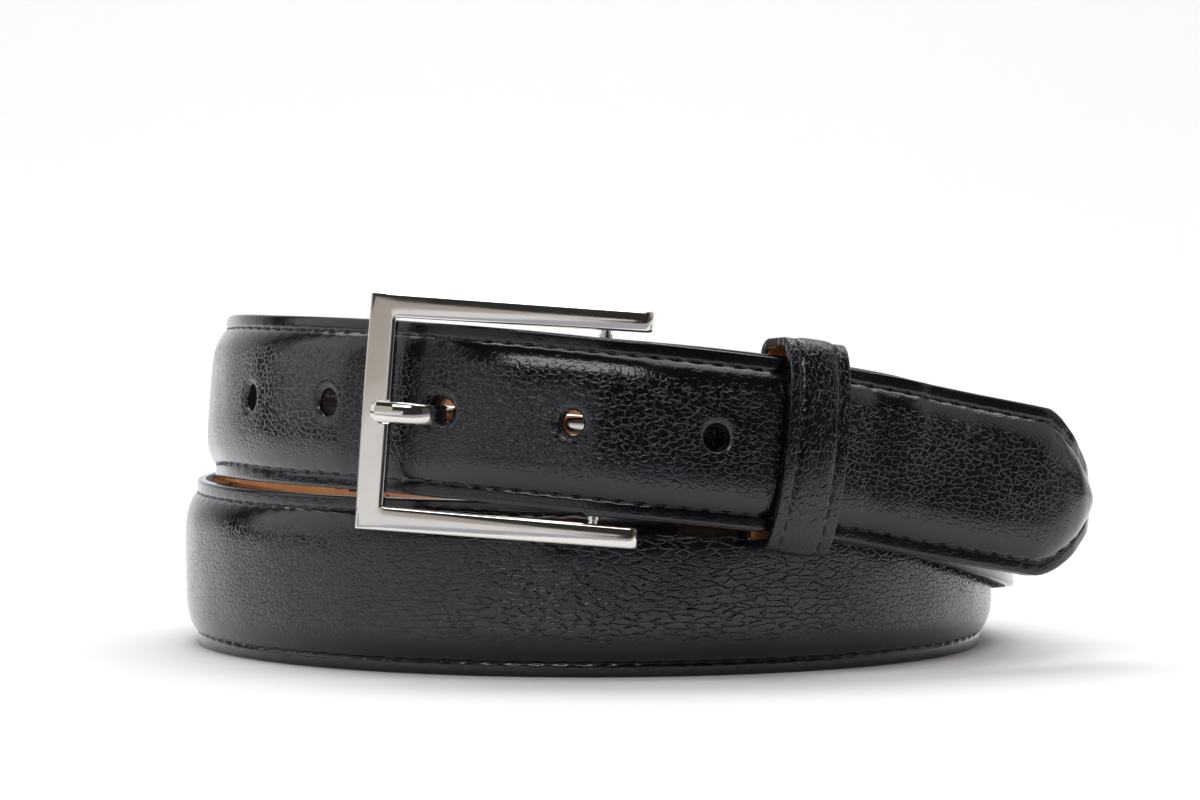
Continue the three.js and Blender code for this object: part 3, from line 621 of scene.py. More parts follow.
def laid_stitch(origin, axes, length, width, height, dip, sign=1):
    """A stitch's points, along the first of the axes, with both ends dipping into the leather."""
    rise = sign * (STITCH[:, 2] * height - dip * np.abs(2 * STITCH[:, 0]) ** 3)
    local = np.stack([STITCH[:, 0] * length, STITCH[:, 1] * width, rise], 1)
    return origin + local[:, :1] * axes[0] + local[:, 1:2] * axes[1] + local[:, 2:] * axes[2]


def stitch_mesh(name, laid, place, material):
    """All of a row's stitches as one mesh."""
    faces = [tuple(i + k * len(STITCH) for i in f) for k in range(len(laid)) for f in STITCH_FACES]
    return mesh_object(name, place(np.concatenate(laid)), faces, material, sharp=80)


def row_path(start, end):
    """(s, w) along the upper row, from start towards the tip, and on round it to the middle line."""
    bend = TIP_AT - 16
    s = np.arange(start, min(end, bend), 0.5)
    if end > bend:
        s = np.concatenate([s, np.linspace(max(start, bend), TIP_AT - STITCH_INSET, 120)])
    return np.stack([s, stitch_row(s)], 1)


def stitches(name, start, end, inside, material):
    """Both rows of stitches, on the black face or inside on the lining."""
    laid = []
    row = row_path(start, end)
    run = running_length(row)

    def row_at(distance):
        return [float(np.interp(distance, run, row[:, i])) for i in (0, 1)]

    for side in (1, -1):
        place = math.ceil(float(stitch_phase(start))) + (0.0 if inside else 0.5)
        while True:
            distance = PITCH_CHANGE + place * (STITCH_PITCH if place < 0 else STITCH_PITCH_TIP) - start
            if distance > run[-1] - 1.0:
                break
            place += 1
            if distance <= 0.8:
                continue
            at_s, at_w = row_at(distance)
            ahead, behind = row_at(distance + 0.4), row_at(distance - 0.4)
            heading = math.atan2(side * (ahead[1] - behind[1]), ahead[0] - behind[0])
            heading += math.radians(random.uniform(5, 11)) * (-1 if inside else 1)
            pitch = STITCH_PITCH if at_s < PITCH_CHANGE else STITCH_PITCH_TIP
            length = pitch * random.uniform(0.76, 0.84)
            turn = float(turn_at(at_s))
            along, out, across = strap_frame(turn)
            x = math.cos(heading) * along + math.sin(heading) * across
            origin = on_strap(turn, side * at_w, 0.16 if inside else MARGIN - 0.2)
            laid.append(laid_stitch(origin, (x, np.cross(out, x), out), length, 0.23, 0.21, 0.30,
                                    -1 if inside else 1))
    return stitch_mesh(name, laid, lambda points: points, material)


# ---------------------------------------------------------------- buckle
BUCKLE_Y = strap_frame(PIN_ANGLE)[2]
PIN_CENTRE = on_strap(PIN_ANGLE, 0.0, PIN_HEIGHT)
FRAME_YAW = math.radians(8)
_flat = np.array([math.cos(FRAME_YAW), -math.sin(FRAME_YAW), 0.0])
BUCKLE_X = unit(_flat - BUCKLE_Y * (_flat @ BUCKLE_Y))
BUCKLE_Z = np.cross(BUCKLE_X, BUCKLE_Y)


def in_buckle(points):
    p = np.reshape(points, (-1, 3))
    return PIN_CENTRE + p[..., :1] * BUCKLE_X + p[..., 1:2] * BUCKLE_Y + p[..., 2:] * BUCKLE_Z


LEFT, RIGHT, HALF_TALL, INNER_TALL, ARM_TAPER, BAR = 42.4, 8.4, 21.2, 16.9, 0.4, 4.8
BACK, DEEP = -0.4, 3.2
RAIL = 4.6
SEAT_RADIUS = 2.5


def frame_section(crown, bevel, front_drop=0.0):
    """(u, z) round a bar of the frame; u runs 0..1 from the outer side to the inner one."""
    b = bevel / RAIL
    low = BACK + bevel
    high = BACK + DEEP - front_drop - crown - bevel
    pts = []

    def corner(u, z, first, steps):
        for k in range(steps + 1):
            a = first + (math.pi / 2) * k / steps
            pts.append((u + b * math.cos(a), z + bevel * math.sin(a)))

    corner(b, low, math.pi, 3)
    corner(1 - b, low, -math.pi / 2, 3)
    corner(1 - b, high, 0.0, 4)
    for k in range(1, 8):
        u = (1 - b) + (b - (1 - b)) * k / 8
        pts.append((u, high + bevel + crown * (1 - (2 * u - 1) ** 2 / (1 - 2 * b) ** 2)))
    corner(b, high, math.pi / 2, 4)
    return pts


SIDES = 32


def circle(radius):
    """Points round a circle."""
    angles = [2 * math.pi * k / SIDES for k in range(SIDES)]
    return [(radius * math.cos(a), radius * math.sin(a)) for a in angles]


def buckle_frame(material):
    rings = []

    def ring(outer, inner, crown, bevel, drop=0.0, shrink=1.0):
        o, i = np.array(outer, float), np.array(inner, float)
        mid = (o + i) / 2
        o, i = mid + (o - mid) * shrink, mid + (i - mid) * shrink
        section = frame_section(crown, bevel, drop)
        rings.append([[*(o + (i - o) * u), z] for u, z in section])

    def arm(sign, order):
        stations = []
        for t in np.linspace(0, 1, 9):
            a = t * math.pi / 2
            x = RIGHT - 1.5 + 1.5 * math.cos(a)
            stations.append((x, 1 - 0.28 * (1 - math.sin(a)) ** 1.5, 1.7 * (1 - math.sin(a)) ** 1.2))
        for x in np.linspace(RIGHT - 1.5, -LEFT + BAR + 0.4, 22)[1:]:
            stations.append((x, 1.0, 0.0))
        for x, shrink, drop in stations if order > 0 else stations[::-1]:
            far = np.clip((x + LEFT) / (LEFT + RIGHT), 0, 1)
            outer, inner = (x, sign * HALF_TALL), (x, sign * (INNER_TALL + ARM_TAPER * far))
            crown = 0.05 + 0.12 * far ** 1.5
            ring(outer, inner, crown, 0.36 + 0.2 * far, drop + 0.2 * far ** 3, shrink)

    arm(1, 1)
    ring((-LEFT, HALF_TALL), (-LEFT + BAR, INNER_TALL), 0.04, 0.36)
    for y in np.linspace(INNER_TALL - 0.4, -INNER_TALL + 0.4, 18):
        bow = 0.35 * (1 - (y / HALF_TALL) ** 2)
        ring((-LEFT - bow * 0.6, y), (-LEFT + BAR, y), 0.04, 0.36)
    ring((-LEFT, -HALF_TALL), (-LEFT + BAR, -INNER_TALL), 0.04, 0.36)
    arm(-1, -1)
    obj = mesh_object("frame", in_buckle(rings), tube_faces(len(rings), len(rings[0])), material, sharp=25)
    # Seat for the prong: a round-ended hollow in the bar.
    profile = [(-LEFT + 1.35 + SEAT_RADIUS * (1 - math.cos(a)), SEAT_RADIUS * math.sin(a))
               for a in np.linspace(0.03, math.pi / 2, 9)]
    profile += [(-LEFT + BAR + 2.5, SEAT_RADIUS)]
    top = BACK + DEEP - 1.45 + SEAT_RADIUS
    hollow = [[(x, y, top + z) for y, z in circle(r)] for x, r in profile]
    tool = mesh_object("frame_seat_tool", in_buckle(hollow), tube_faces(len(profile), SIDES), material)
    cut = obj.modifiers.new("seat", "BOOLEAN")
    cut.operation, cut.solver, cut.object = "DIFFERENCE", "EXACT", tool
    dg = bpy.context.evaluated_depsgraph_get()
    new = bpy.data.meshes.new_from_object(obj.evaluated_get(dg))
    obj.modifiers.clear()
    obj.data = new
    bpy.data.objects.remove(tool)
    shade(obj, 25)
    return obj


PRONG_LINE = [
    (1.6, 0.75, 1.7), (10, 0.4, 1.9), (18, -0.6, 1.9), (23, -1.9, 1.9), (26.4, -1.9, 1.9),
    (29.2, 0.9, 1.8), (32.2, 3.4, 1.9), (36.2, 3.95, 1.9), (39.6, 3.15, 1.8), (41.1, 2.75, 1.3),
]


def catmull(points, count):
    """Centripetal Catmull-Rom through the points."""
    p = np.array(points, float)
    p = np.vstack([2 * p[0] - p[1], p, 2 * p[-1] - p[-2]])
    out = []
    segments = len(p) - 3
    for q in np.linspace(0, segments, count):
        i = min(int(q), segments - 1)
        t = q - i
        p0, p1, p2, p3 = p[i:i + 4]
        t0 = 0.0
        t1 = t0 + np.linalg.norm(p1[:2] - p0[:2]) ** 0.5
        t2 = t1 + np.linalg.norm(p2[:2] - p1[:2]) ** 0.5
        t3 = t2 + np.linalg.norm(p3[:2] - p2[:2]) ** 0.5
        u = t1 + (t2 - t1) * t
        a1 = (t1 - u) / (t1 - t0) * p0 + (u - t0) / (t1 - t0) * p1
        a2 = (t2 - u) / (t2 - t1) * p1 + (u - t1) / (t2 - t1) * p2
        a3 = (t3 - u) / (t3 - t2) * p2 + (u - t2) / (t3 - t2) * p3
        b1 = (t2 - u) / (t2 - t0) * a1 + (u - t0) / (t2 - t0) * a2
        b2 = (t3 - u) / (t3 - t1) * a2 + (u - t1) / (t3 - t1) * a3
        out.append((t2 - u) / (t2 - t1) * b1 + (u - t1) / (t2 - t1) * b2)
    return np.array(out)


def prong(material):
    line = catmull(PRONG_LINE, 110)
    centre = np.stack([-line[:, 0], np.zeros(len(line)), line[:, 1]], 1)
    tangent = unit(np.gradient(centre, axis=0))
    rings, sides = [], 28
    for i, (c, t) in enumerate(zip(centre, tangent)):
        out = np.array([-t[2], 0, t[0]]) * (-1 if t[0] < 0 else 1)
        share = i / (len(line) - 1)
        end = 1 - 0.30 * smoothstep(share, 0.9, 0.975) - 0.62 * smoothstep(share, 0.965, 1.0) ** 2
        ring = []
        for k in range(sides):
            a = 2 * math.pi * (k + 0.5) / sides
            c1 = math.copysign(abs(math.cos(a)) ** 0.8, math.cos(a))
            s1 = math.copysign(abs(math.sin(a)) ** 0.8, math.sin(a))
            thick = line[i, 2] * (0.35 + 0.65 * end)
            ring.append(c + out * s1 * thick / 2 + np.array([0, c1 * 1.9 * end, 0]))
        rings.append(ring)
    # The eye, a rolled loop round the pin.
    section = [(1.25, -1.9), (1.25, 1.9), (1.42, 1.98), (2.1, 1.98)]
    section += [(2.35, 1.75), (2.35, -1.75), (2.1, -1.98), (1.42, -1.98)]
    turns = [2 * math.pi * k / 40 for k in range(40)]
    eye = [[(r * math.cos(a), y, r * math.sin(a)) for r, y in section] for a in turns]
    faces = tube_faces(len(rings), sides)
    faces += tube_faces(len(eye), len(section), closed=True, start=len(rings) * sides)
    points = np.concatenate([in_buckle(rings), in_buckle(eye)])
    return mesh_object("prong_bar", points, faces, material, sharp=45)


def pin(material):
    half = [(0.0, 0.95), (3.3, 0.95), (3.35, 1.25), (3.95, 1.25), (4.0, 1.0)]
    profile = [(-19.9, 0.02)] + [(-19.9 + y, r) for y, r in half]
    profile += [(19.9 - y, r) for y, r in half[::-1]] + [(19.9, 0.02)]
    rings = [[(x, y, z) for x, z in circle(r)] for y, r in profile]
    return mesh_object("pin", in_buckle(rings), tube_faces(len(rings), SIDES), material, sharp=35)


# ---------------------------------------------------------------- keeper
KEEPER_LENGTH, KEEPER_HALF, KEEPER_BACK, KEEPER_SHOULDER, KEEPER_CROWN = 12.2, 17.2, -1.1, 5.5, 3.9
KEEPER_PITCH = 2.9
_ko, _kx = strap_frame(KEEPER_ANGLE)[1:]
_kz = np.cross(_kx, _ko)
KEEPER_AT = on_strap(KEEPER_ANGLE, 0.0, 0.0)


def in_keeper(points):
    p = np.asarray(points, float)
    return KEEPER_AT + p[..., :1] * _kx + p[..., 1:2] * _ko + p[..., 2:] * _kz


def keeper_outline(offset, count=150):
    """Closed line round the keeper in (across, out), with its running length."""
    half, back, corner = KEEPER_HALF + offset, KEEPER_BACK - offset, 0.8 + offset
    pts = []
    for a in np.linspace(0, math.pi, 61):
        pts.append((half * math.cos(a), KEEPER_SHOULDER + (KEEPER_CROWN + offset) * math.sin(a)))
    for y in np.linspace(KEEPER_SHOULDER, back + corner, 8)[1:]:
        pts.append((-half, y))
    for a in np.linspace(math.pi, 1.5 * math.pi, 8)[1:]:
        pts.append((-half + corner + corner * math.cos(a), back + corner + corner * math.sin(a)))
    for x in np.linspace(-half + corner, half - corner, 24)[1:]:
        pts.append((x, back))
    for a in np.linspace(1.5 * math.pi, 2 * math.pi, 8)[1:]:
        pts.append((half - corner + corner * math.cos(a), back + corner + corner * math.sin(a)))
    for y in np.linspace(back + corner, KEEPER_SHOULDER, 8)[1:-1]:
        pts.append((half, y))
    pts = np.array(pts)
    closed = np.vstack([pts, pts[:1]])
    run = running_length(closed)
    even = np.linspace(0, run[-1], count + 1)[:-1]
    line = np.stack([np.interp(even, run, closed[:, 0]), np.interp(even, run, closed[:, 1])], 1)
    return line, even, run[-1]


KEEPER_ROW = 3.85


def keeper_piece(name, low, high, material, profile, sharp=50):
    """profile: (place along, share of thickness 0..1, extra offset) round the section."""
    line_low, run, total = keeper_outline(low)
    line_high = keeper_outline(high)[0]
    tangent = unit(np.roll(line_high, -1, 0) - np.roll(line_high, 1, 0))
    normal = np.stack([tangent[:, 1], -tangent[:, 0]], 1)
    points, uv = [], []
    count = len(line_low)
    for i in range(count):
        pull = 0.5 + 0.5 * math.cos(2 * math.pi * run[i] / (total / round(total / KEEPER_PITCH)))
        for place, share, extra, groove in profile:
            p = line_low[i] * (1 - share) + line_high[i] * share
            p = p + normal[i] * (extra - groove * (0.7 + 0.6 * pull ** 2))
            points.append((p[0], p[1], place))
            uv.append((run[i] + 400, place * 1.1 + 100))
    faces = tube_faces(count, len(profile), closed=True)
    return mesh_object(name, in_keeper(np.array(points)), faces, material, uv=uv, sharp=sharp)


def keeper_leather(material):
    half = KEEPER_LENGTH / 2
    profile = []
    for k in range(5):
        a = math.pi / 2 * k / 4
        profile.append((-half + 0.3 - 0.3 * math.cos(a), 1.0, -0.35 * (1 - math.sin(a)), 0.0))
    places = [-5.4, -4.9, -4.55, -4.3, -4.1, -3.95, -3.85, -3.75, -3.6, -3.4, -3.1, -2.7, -2.0, -1.0, 0]
    places += [-p for p in places[-2::-1]]
    for place in places:
        crown = 0.35 * max(0, 1 - (place / 3.5) ** 4) ** 0.8 if abs(place) < 3.5 else 0.0
        groove = 0.22 * math.exp(-((abs(place) - KEEPER_ROW) / 0.28) ** 2)
        profile.append((place, 1.0, crown, groove))
    for k in range(5):
        a = math.pi / 2 * (4 - k) / 4
        profile.append((half - 0.3 + 0.3 * math.cos(a), 1.0, -0.35 * (1 - math.sin(a)), 0.0))
    for sign in (1, -1):
        rim = [(0.0, 0.3), (0.06, 0.1), (0.25, 0.02), (0.55, 0.02), (0.6, 0.37)]
        profile += [(sign * (half - inset), share, 0, 0) for inset, share in rim][::sign]
    return keeper_piece("keeper_leather", 0.0, 1.9, material, profile)


def keeper_inside(material):
    half = KEEPER_LENGTH / 2 - 0.65
    top = [(-half, 0.85), (0, 1.0), (half, 0.85), (half, 0.25), (half - 0.15, 0.0)]
    under = [(KEEPER_ROW, 0.05), (0, 0.0), (-KEEPER_ROW, 0.05), (-half + 0.15, 0.0), (-half, 0.25)]
    profile = [(place, share, 0, 0) for place, share in top + under]
    return keeper_piece("keeper_inside", 0.0, 0.72, material, profile)


def keeper_stitches(name, side, material):
    line, run, total = keeper_outline(1.9, 600)
    closed = np.vstack([line, line[:1]])
    length = np.concatenate([run, [total]])
    number = round(total / KEEPER_PITCH)
    pitch = total / number

    def line_at(distance):
        return np.array([np.interp(distance % total, length, closed[:, i]) for i in (0, 1)])

    laid = []
    for k in range(number):
        at = (k + 0.5) * pitch
        t = unit(line_at(at + 0.3) - line_at(at - 0.3))
        slant = math.radians(random.uniform(6, 12))
        x = np.array([t[0] * math.cos(slant), t[1] * math.cos(slant), math.sin(slant)])
        z = np.array([t[1], -t[0], 0.0])
        origin = np.array([*line_at(at), side * KEEPER_ROW]) - z * 0.24
        size = pitch * random.uniform(0.74, 0.82)
        laid.append(laid_stitch(origin, (x, np.cross(z, x), z), size, 0.24, 0.22, 0.22))
    return stitch_mesh(name, laid, in_keeper, material)


# ---------------------------------------------------------------- materials
class Look:
    """A material under construction, with short ways to add what feeds its shader."""

    def __init__(self, name):
        self.material = bpy.data.materials.new(name)
        self.material.use_nodes = True
        self.tree = self.material.node_tree
        self.shader = self.tree.nodes["Principled BSDF"]

    def feed(self, socket, value):
        """Links another node's output to a socket, or sets a constant on it."""
        if isinstance(value, bpy.types.NodeSocket):
            self.tree.links.new(value, socket)
        else:
            socket.default_value = value

    def dial(self, **values):
        """Feeds the shader's own sockets."""
        for key, value in values.items():
            self.feed(self.shader.inputs[key.replace("_", " ")], value)

    def add(self, kind, **values):
        """Adds a node; names that start with in_ are its sockets, the others its settings."""
        node = self.tree.nodes.new("ShaderNode" + kind)
        for key, value in values.items():
            if key.startswith("in_"):
                self.feed(node.inputs[key[3:].replace("_", " ")], value)
            else:
                setattr(node, key, value)
        return node

    def maths(self, operation, first, second=None, clamp=False):
        node = self.add("Math", operation=operation, use_clamp=clamp)
        self.feed(node.inputs[0], first)
        if second is not None:
            self.feed(node.inputs[1], second)
        return node.outputs[0]

    def plus(self, first, second):
        return self.maths("ADD", first, second)

    def times(self, first, second, clamp=False):
        return self.maths("MULTIPLY", first, second, clamp)

    def vectors(self, operation, first, second):
        node = self.add("VectorMath", operation=operation)
        self.feed(node.inputs[0], first)
        self.feed(node.inputs["Scale" if operation == "SCALE" else 1], second)
        return node.outputs[0]

    def ramp(self, value, low, high, to_low=0.0, to_high=1.0):
        node = self.add("MapRange", interpolation_type="SMOOTHSTEP", in_Value=value,
                        in_From_Min=low, in_From_Max=high, in_To_Min=to_low, in_To_Max=to_high)
        return node.outputs["Result"]

    def mix(self, data_type, factor, a, b):
        return self.add("Mix", data_type=data_type, in_Factor=factor, in_A=a, in_B=b).outputs["Result"]

    def noise(self, vector, scale, detail, roughness=0.5, output="Fac"):
        node = self.add("TexNoise", in_Vector=vector, in_Scale=scale, in_Detail=detail,
                        in_Roughness=roughness)
        return node.outputs[output]

    def stretched(self, vector, scale):
        return self.add("Mapping", in_Vector=vector, in_Scale=scale).outputs[0]

    def bump(self, height, strength, distance):
        return self.add("Bump", in_Height=height, in_Strength=strength, in_Distance=distance).outputs[0]

    def wear_paint_and_shade(self):
        return self.add("Attribute", attribute_name="wear_paint_and_shade").outputs["Fac"]

    def strap_coords(self):
        """Millimetres along and across the strap."""
        uv = self.add("UVMap", uv_map="strap")
        return self.vectors("SCALE", uv.outputs[0], 1000.0)

    def pebble(self, coords, scale, warp, warp_scale, crease):
        """Rounded grain cells parted by creases: 0 in a crease, 1 on a cell."""
        place = self.stretched(coords, scale)
        push = self.vectors("SUBTRACT", self.noise(place, warp_scale, 2.0, 0.55, "Color"), (0.5, 0.5, 0.5))
        moved = self.vectors("ADD", place, self.vectors("SCALE", push, warp))
        cells = self.add("TexVoronoi", feature="DISTANCE_TO_EDGE", voronoi_dimensions="2D",
                         in_Vector=moved, in_Scale=1.0)
        return self.ramp(cells.outputs["Distance"], 0.0, crease)

    def broken(self, coords, cells, scale, low, high):
        """Lets the creases between the cells fade in and out along their length."""
        depth = self.ramp(self.noise(coords, scale, 2.0, 0.6), low, high)
        sunk = self.maths("SUBTRACT", 1.0, cells)
        return self.maths("SUBTRACT", 1.0, self.times(sunk, depth))


def leather_material(name, keeper=False):
    look = Look(name)
    coords = look.strap_coords()
    parts = look.add("SeparateXYZ", in_Vector=coords)
    along, across = parts.outputs["X"], parts.outputs["Y"]
    cells = look.broken(coords, look.pebble(coords, (0.72, 1.0, 1), 1.0, 1.1, 0.19), 0.8, 0.30, 0.62)
    long_cells = look.broken(coords, look.pebble(coords, (0.30, 0.85, 1), 1.3, 0.9, 0.17), 0.6, 0.28, 0.56)
    fine = look.broken(coords, look.pebble(coords, (1.25, 1.35, 1), 1.0, 1.0, 0.30), 1.4, 0.35, 0.65)
    patches = look.noise(coords, 0.07, 1.0)
    # The lower turn's front has long wrinkles; the rest has rounder grain.
    front_low, front_high = float(length_at(318)), float(length_at(412))
    long_here = look.times(look.ramp(along, front_low, front_low + 35),
                           look.ramp(along, front_high - 35, front_high, 1.0, 0.0))
    grain = look.mix("FLOAT", long_here, cells, long_cells)
    # Fine upright creases near the edges and the tip, where the leather is drawn tight.
    creases = look.noise(look.stretched(coords, (1.9, 0.30, 1)), 1.0, 3.0, 0.6)
    size = look.maths("ABSOLUTE", across)
    if keeper:
        near_edge, near_tip = look.ramp(size, 200, 300), look.ramp(along, 2000, 3000)
    else:
        near_edge, near_tip = look.ramp(size, 8.0, 11.5), look.ramp(along, TIP_AT - 30, TIP_AT - 10)
    drawn_here = look.maths("MAXIMUM", near_edge, near_tip)
    strength = look.ramp(drawn_here, 0.0, 1.0, 1.0, 0.16)
    vary = look.ramp(patches, 0.35, 0.65, 0.7, 1.1)
    height = look.times(grain, look.times(strength, vary))
    height = look.plus(height, look.times(fine, look.times(strength, 0.10)))
    height = look.plus(height, look.times(creases, look.times(drawn_here, 0.34)))
    height = look.plus(height, look.times(look.noise(coords, 3.4, 3.0, 0.6), 0.05))
    normal = look.bump(height, 1.0, 0.00008)
    # The creases get a darker base colour than the lighter, bluer cells: painted shade in the creases.
    tint = look.mix("RGBA", grain, (0.0012, 0.0012, 0.0016, 1), (0.0028, 0.0029, 0.0042, 1))
    wear_paint_and_shade = look.wear_paint_and_shade()
    color = look.mix("RGBA", look.times(wear_paint_and_shade, 0.5, True), tint, (0.03, 0.03, 0.034, 1))
    hidden = look.times(wear_paint_and_shade, -1.0, True)
    rough = look.plus(look.ramp(patches, 0.3, 0.7, 0.13, 0.19), look.times(hidden, 0.6))
    look.dial(Base_Color=color, Roughness=rough, Normal=normal, Coat_Normal=normal, IOR=1.43,
              Coat_Weight=0.5, Coat_Roughness=0.1, Coat_IOR=1.45, Coat_Tint=(0.92, 0.94, 1.0, 1),
              Specular_Tint=(0.95, 0.96, 1.0, 1))
    return look.material


def tan_material(name):
    look = Look(name)
    coords = look.strap_coords()
    cloud = look.noise(coords, 0.12, 4.0, 0.6)
    grain = look.noise(coords, 2.4, 5.0, 0.7)
    tone = look.mix("RGBA", look.ramp(cloud, 0.3, 0.7), (0.40, 0.165, 0.058, 1), (0.54, 0.245, 0.095, 1))
    # Black where marked: real edge paint on the edges, painted shade on the lining's hole walls.
    painted = look.mix("RGBA", look.wear_paint_and_shade(), tone, (0.004, 0.004, 0.005, 1))
    look.dial(Base_Color=painted, Roughness=look.ramp(grain, 0.3, 0.7, 0.48, 0.62),
              Normal=look.bump(grain, 0.6, 0.00006), IOR=1.45)
    return look.material


def thread_material(name):
    look = Look(name)
    place = look.add("TexCoord").outputs["Object"]
    strands = look.noise(place, 4200.0, 2.0)
    look.dial(Base_Color=(0.004, 0.004, 0.006, 1), Roughness=look.ramp(strands, 0.3, 0.7, 0.5, 0.7),
              Normal=look.bump(strands, 0.8, 0.00008), IOR=1.45, Sheen_Weight=0.05)
    return look.material


def nickel_material(name):
    look = Look(name)
    place = look.add("TexCoord").outputs["Object"]
    haze = look.noise(place, 160.0, 3.0)
    wave = look.noise(place, 90.0, 1.0)
    look.dial(Base_Color=(0.74, 0.715, 0.675, 1), Roughness=look.ramp(haze, 0.3, 0.7, 0.07, 0.11),
              Normal=look.bump(wave, 0.25, 0.00003), Metallic=1.0)
    return look.material


def plain_material(name, color, roughness):
    look = Look(name)
    look.dial(Base_Color=(*color, 1), Roughness=roughness, IOR=1.3)
    return look.material


def light_material(name, radiance):
    look = Look(name)
    look.dial(Base_Color=(0, 0, 0, 1), Specular_IOR_Level=0.0, Emission_Color=(*radiance, 1),
              Emission_Strength=1.0)
    return look.material


black = leather_material("black_leather_look")
black_keeper = leather_material("keeper_leather_look", keeper=True)
tan = tan_material("tan_leather_look")
cord = thread_material("thread_look")
nickel = nickel_material("nickel_look")

# ---------------------------------------------------------------- the belt
seam = float(length_at(SEAM_ANGLE))
lining_start = float(length_at(12))
leather = strap_leather("strap_leather", float(length_at(5.5)), seam, True, black)
leather_tip = strap_leather("strap_leather_tip", seam, TIP_AT, False, black)
inner = strap_lining("strap_lining", lining_start, seam, tan)
inner_tip = strap_lining("strap_lining_tip", seam, TIP_AT, tan)
seams = stitches("strap_stitches", lining_start, seam, False, cord)
seams_tip = stitches("strap_stitches_tip", seam, TIP_AT, False, cord)
seams_in = stitches("lining_stitches", lining_start, seam, True, cord)
seams_in_tip = stitches("lining_stitches_tip", seam, TIP_AT, True, cord)
metal_frame = buckle_frame(nickel)
metal_pin = pin(nickel)
metal_prong = prong(nickel)
loop = keeper_leather(black_keeper)
loop_inside = keeper_inside(tan)
loop_left = keeper_stitches("keeper_stitches_left", -1, cord)
loop_right = keeper_stitches("keeper_stitches_right", 1, cord)


def metres(point):
    return tuple((np.asarray(point, float) + SHIFT) / 1000)


bend_start = metres(on_strap(SPLIT_ANGLE - 1.6, 0.0, MARGIN))
bend_end = metres(on_strap(SPLIT_ANGLE + 2.2, 0.0, MARGIN))
for piece in (leather_tip, inner_tip, seams_tip, seams_in_tip):
    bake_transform(piece)
for piece in (leather, inner, seams, seams_in):
    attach(piece, "strap")
for piece in (loop, loop_inside, loop_left, loop_right):
    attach(piece, "keeper")
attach(metal_frame, "buckle")
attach(metal_pin, "buckle")
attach(metal_prong, "prong")

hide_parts("outer_leather")
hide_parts("outer_leather_tail")
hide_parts("lining")
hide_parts("lining_tail")
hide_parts("needle_thread_upper", "needle_thread_lower")
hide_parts("needle_thread_upper_tail", "needle_thread_lower_tail")
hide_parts("bobbin_thread_upper", "bobbin_thread_lower")
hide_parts("bobbin_thread_upper_tail", "bobbin_thread_lower_tail")
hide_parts("buckle_frame")
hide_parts("crossbar_pin")
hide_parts("prong")
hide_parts("keeper_outer")
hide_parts("keeper_lining")
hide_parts("keeper_thread_left")
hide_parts("keeper_thread_right")
felt = plain_material("felt_look", (0.035, 0.026, 0.02), 0.9)
for node, look in (
    ("padding", felt), ("padding_tail", felt), ("chape_thread_near", cord), ("chape_thread_far", cord),
):
    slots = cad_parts[node].data.materials
    slots.clear()
    slots.append(look)


# ---------------------------------------------------------------- studio
def staged(name, points, faces, look, seen=True, mirrored=True):
    """Part of the studio: seen by the camera, and mirrored by what is glossy."""
    mesh = bpy.data.meshes.new(name)
    mesh.from_pydata(points, [], faces)
    for f in mesh.polygons:
        f.use_smooth = True
    mesh.materials.append(look)
    obj = bpy.data.objects.new(name, mesh)
    bpy.context.scene.collection.objects.link(obj)
    obj.visible_camera = seen
    obj.visible_glossy = mirrored
    if not seen:
        obj.visible_shadow = False
    return obj


def card(name, corners, radiance):
    """A sheet that only lights and is mirrored."""
    look = light_material(name + "_look", radiance)
    return staged(name, corners, [tuple(range(len(corners)))], look, seen=False)


def curtain(name, start, end, low, high, radiance):
    """An upright card round the belt; azimuths in degrees to the right of the camera's side."""
    corners = []
    for azimuth in (start, end):
        a = math.radians(azimuth)
        corners.append((CARD_DISTANCE * math.sin(a), -CARD_DISTANCE * math.cos(a)))
    (x0, y0), (x1, y1) = corners
    return card(name, [(x0, y0, low), (x1, y1, low), (x1, y1, high), (x0, y0, high)], radiance)


def sweep_backdrop(name, look):
    """Floor that curves up into a wall behind the belt."""
    profile = [(FLOOR_FRONT, 0.0), (FLOOR_BACK, 0.0)]
    for k in range(1, 13):
        a = math.pi / 2 * k / 12
        profile.append((FLOOR_BACK + WALL_CURVE * math.sin(a), WALL_CURVE - WALL_CURVE * math.cos(a)))
    profile.append((FLOOR_BACK + WALL_CURVE, WALL_TOP))
    points, faces = [], []
    for y, z in profile:
        points += [(-FLOOR_SIDE, y, z), (FLOOR_SIDE, y, z)]
    for k in range(len(profile) - 1):
        faces.append((2 * k, 2 * k + 1, 2 * k + 3, 2 * k + 2))
    return staged(name, points, faces, look)


def area(name, place, target, size, power):
    data = bpy.data.lights.new(name, "AREA")
    data.shape = "RECTANGLE"
    data.size, data.size_y = size
    data.energy = power
    obj = bpy.data.objects.new(name, data)
    bpy.context.scene.collection.objects.link(obj)
    obj.location = place
    obj.rotation_euler = (Vector(target) - Vector(place)).to_track_quat("-Z", "Y").to_euler()
    return obj


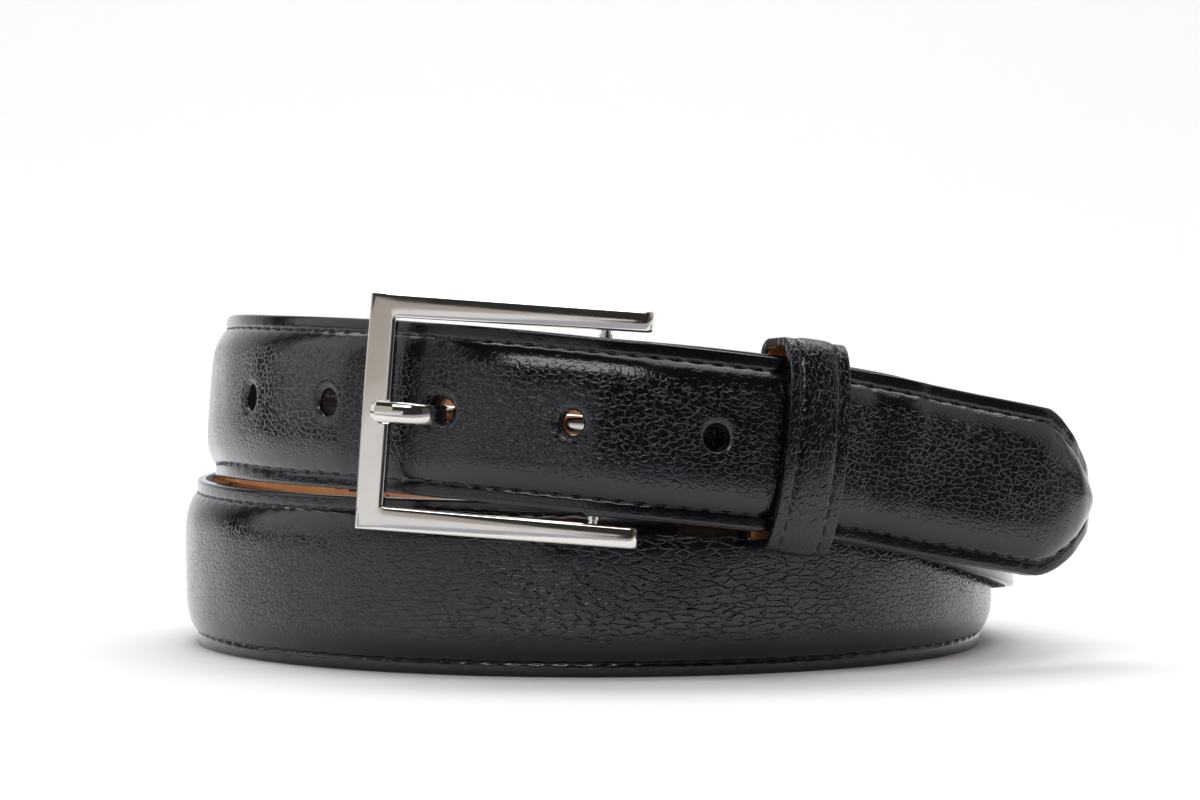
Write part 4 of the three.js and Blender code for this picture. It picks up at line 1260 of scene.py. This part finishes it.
FLOOR_FRONT, FLOOR_BACK, FLOOR_SIDE = -0.27, 1.3, 2.6
WALL_CURVE, WALL_TOP = 0.7, 2.6
TABLE_END = -1.6
CARD_DISTANCE, CARD_EDGE = 1.1, 0.116
white = plain_material("studio_white", (0.93, 0.93, 0.935), 0.9)
sweep_backdrop("studio_floor", white)
front = [(-FLOOR_SIDE, TABLE_END, 0.0), (FLOOR_SIDE, TABLE_END, 0.0)]
front += [(FLOOR_SIDE, FLOOR_FRONT, 0.0), (-FLOOR_SIDE, FLOOR_FRONT, 0.0)]
staged("studio_floor_front", front, [(0, 1, 2, 3)], white, mirrored=False)
card("table_front", [(x, y, 0.001) for x, y, _ in front], (0.44, 0.45, 0.52))
curtain("left_low", -14.4, -75, 0.0, CARD_EDGE, (0.86, 0.85, 0.86))
curtain("left_mid", -16.0, -32, CARD_EDGE, 0.21, (0.45, 0.41, 0.375))
curtain("left_end", -12.8, -16.0, CARD_EDGE, 0.19, (0.76, 0.73, 0.70))
curtain("left_high", -32, -66, CARD_EDGE, 0.55, (0.53, 0.49, 0.46))
curtain("right_high", 38, 74, 0.05, 0.6, (0.10, 0.08, 0.07))
area("over_back", (0.0, 0.9, 1.9), (0, 1.2, 0), (3.4, 1.4), 37)
area("over_belt", (0.1, 0.1, 1.3), (0, 0, 0), (1.6, 0.8), 9.3)
area("over_front", (-0.30, -1.05, 0.95), (0, 0, 0.05), (0.75, 0.45), 5.0)
area("side_left", (-1.5, 0.05, 0.7), (0, 0, 0.05), (1.2, 1.2), 4.5)
area("side_right", (1.5, 0.25, 0.7), (0, 0, 0.05), (1.2, 1.2), 2.6)

world = bpy.data.worlds.new("studio_world")
bpy.context.scene.world = world
world.use_nodes = True
room = world.node_tree
sky = room.nodes["Background"]
sky.inputs["Color"].default_value = (0.032, 0.030, 0.029, 1)
pale = room.nodes.new("ShaderNodeBackground")
pale.inputs["Color"].default_value = (0.97, 0.97, 0.975, 1)
rays = room.nodes.new("ShaderNodeLightPath")
either = room.nodes.new("ShaderNodeMixShader")
room.links.new(rays.outputs["Is Camera Ray"], either.inputs[0])
room.links.new(sky.outputs[0], either.inputs[1])
room.links.new(pale.outputs[0], either.inputs[2])
room.links.new(either.outputs[0], room.nodes["World Output"].inputs["Surface"])
bpy.context.scene.view_settings.view_transform = "Standard"

camera = bpy.data.cameras.new("camera")
camera.sensor_width = 36.0
camera.lens = 142.8
camera_object = bpy.data.objects.new("camera", camera)
bpy.context.scene.collection.objects.link(camera_object)
camera_object.location = (-0.00584, -0.92311, 0.085)
camera_object.rotation_euler = (math.radians(90 - 2.37), 0, 0)
bpy.context.scene.camera = camera_object
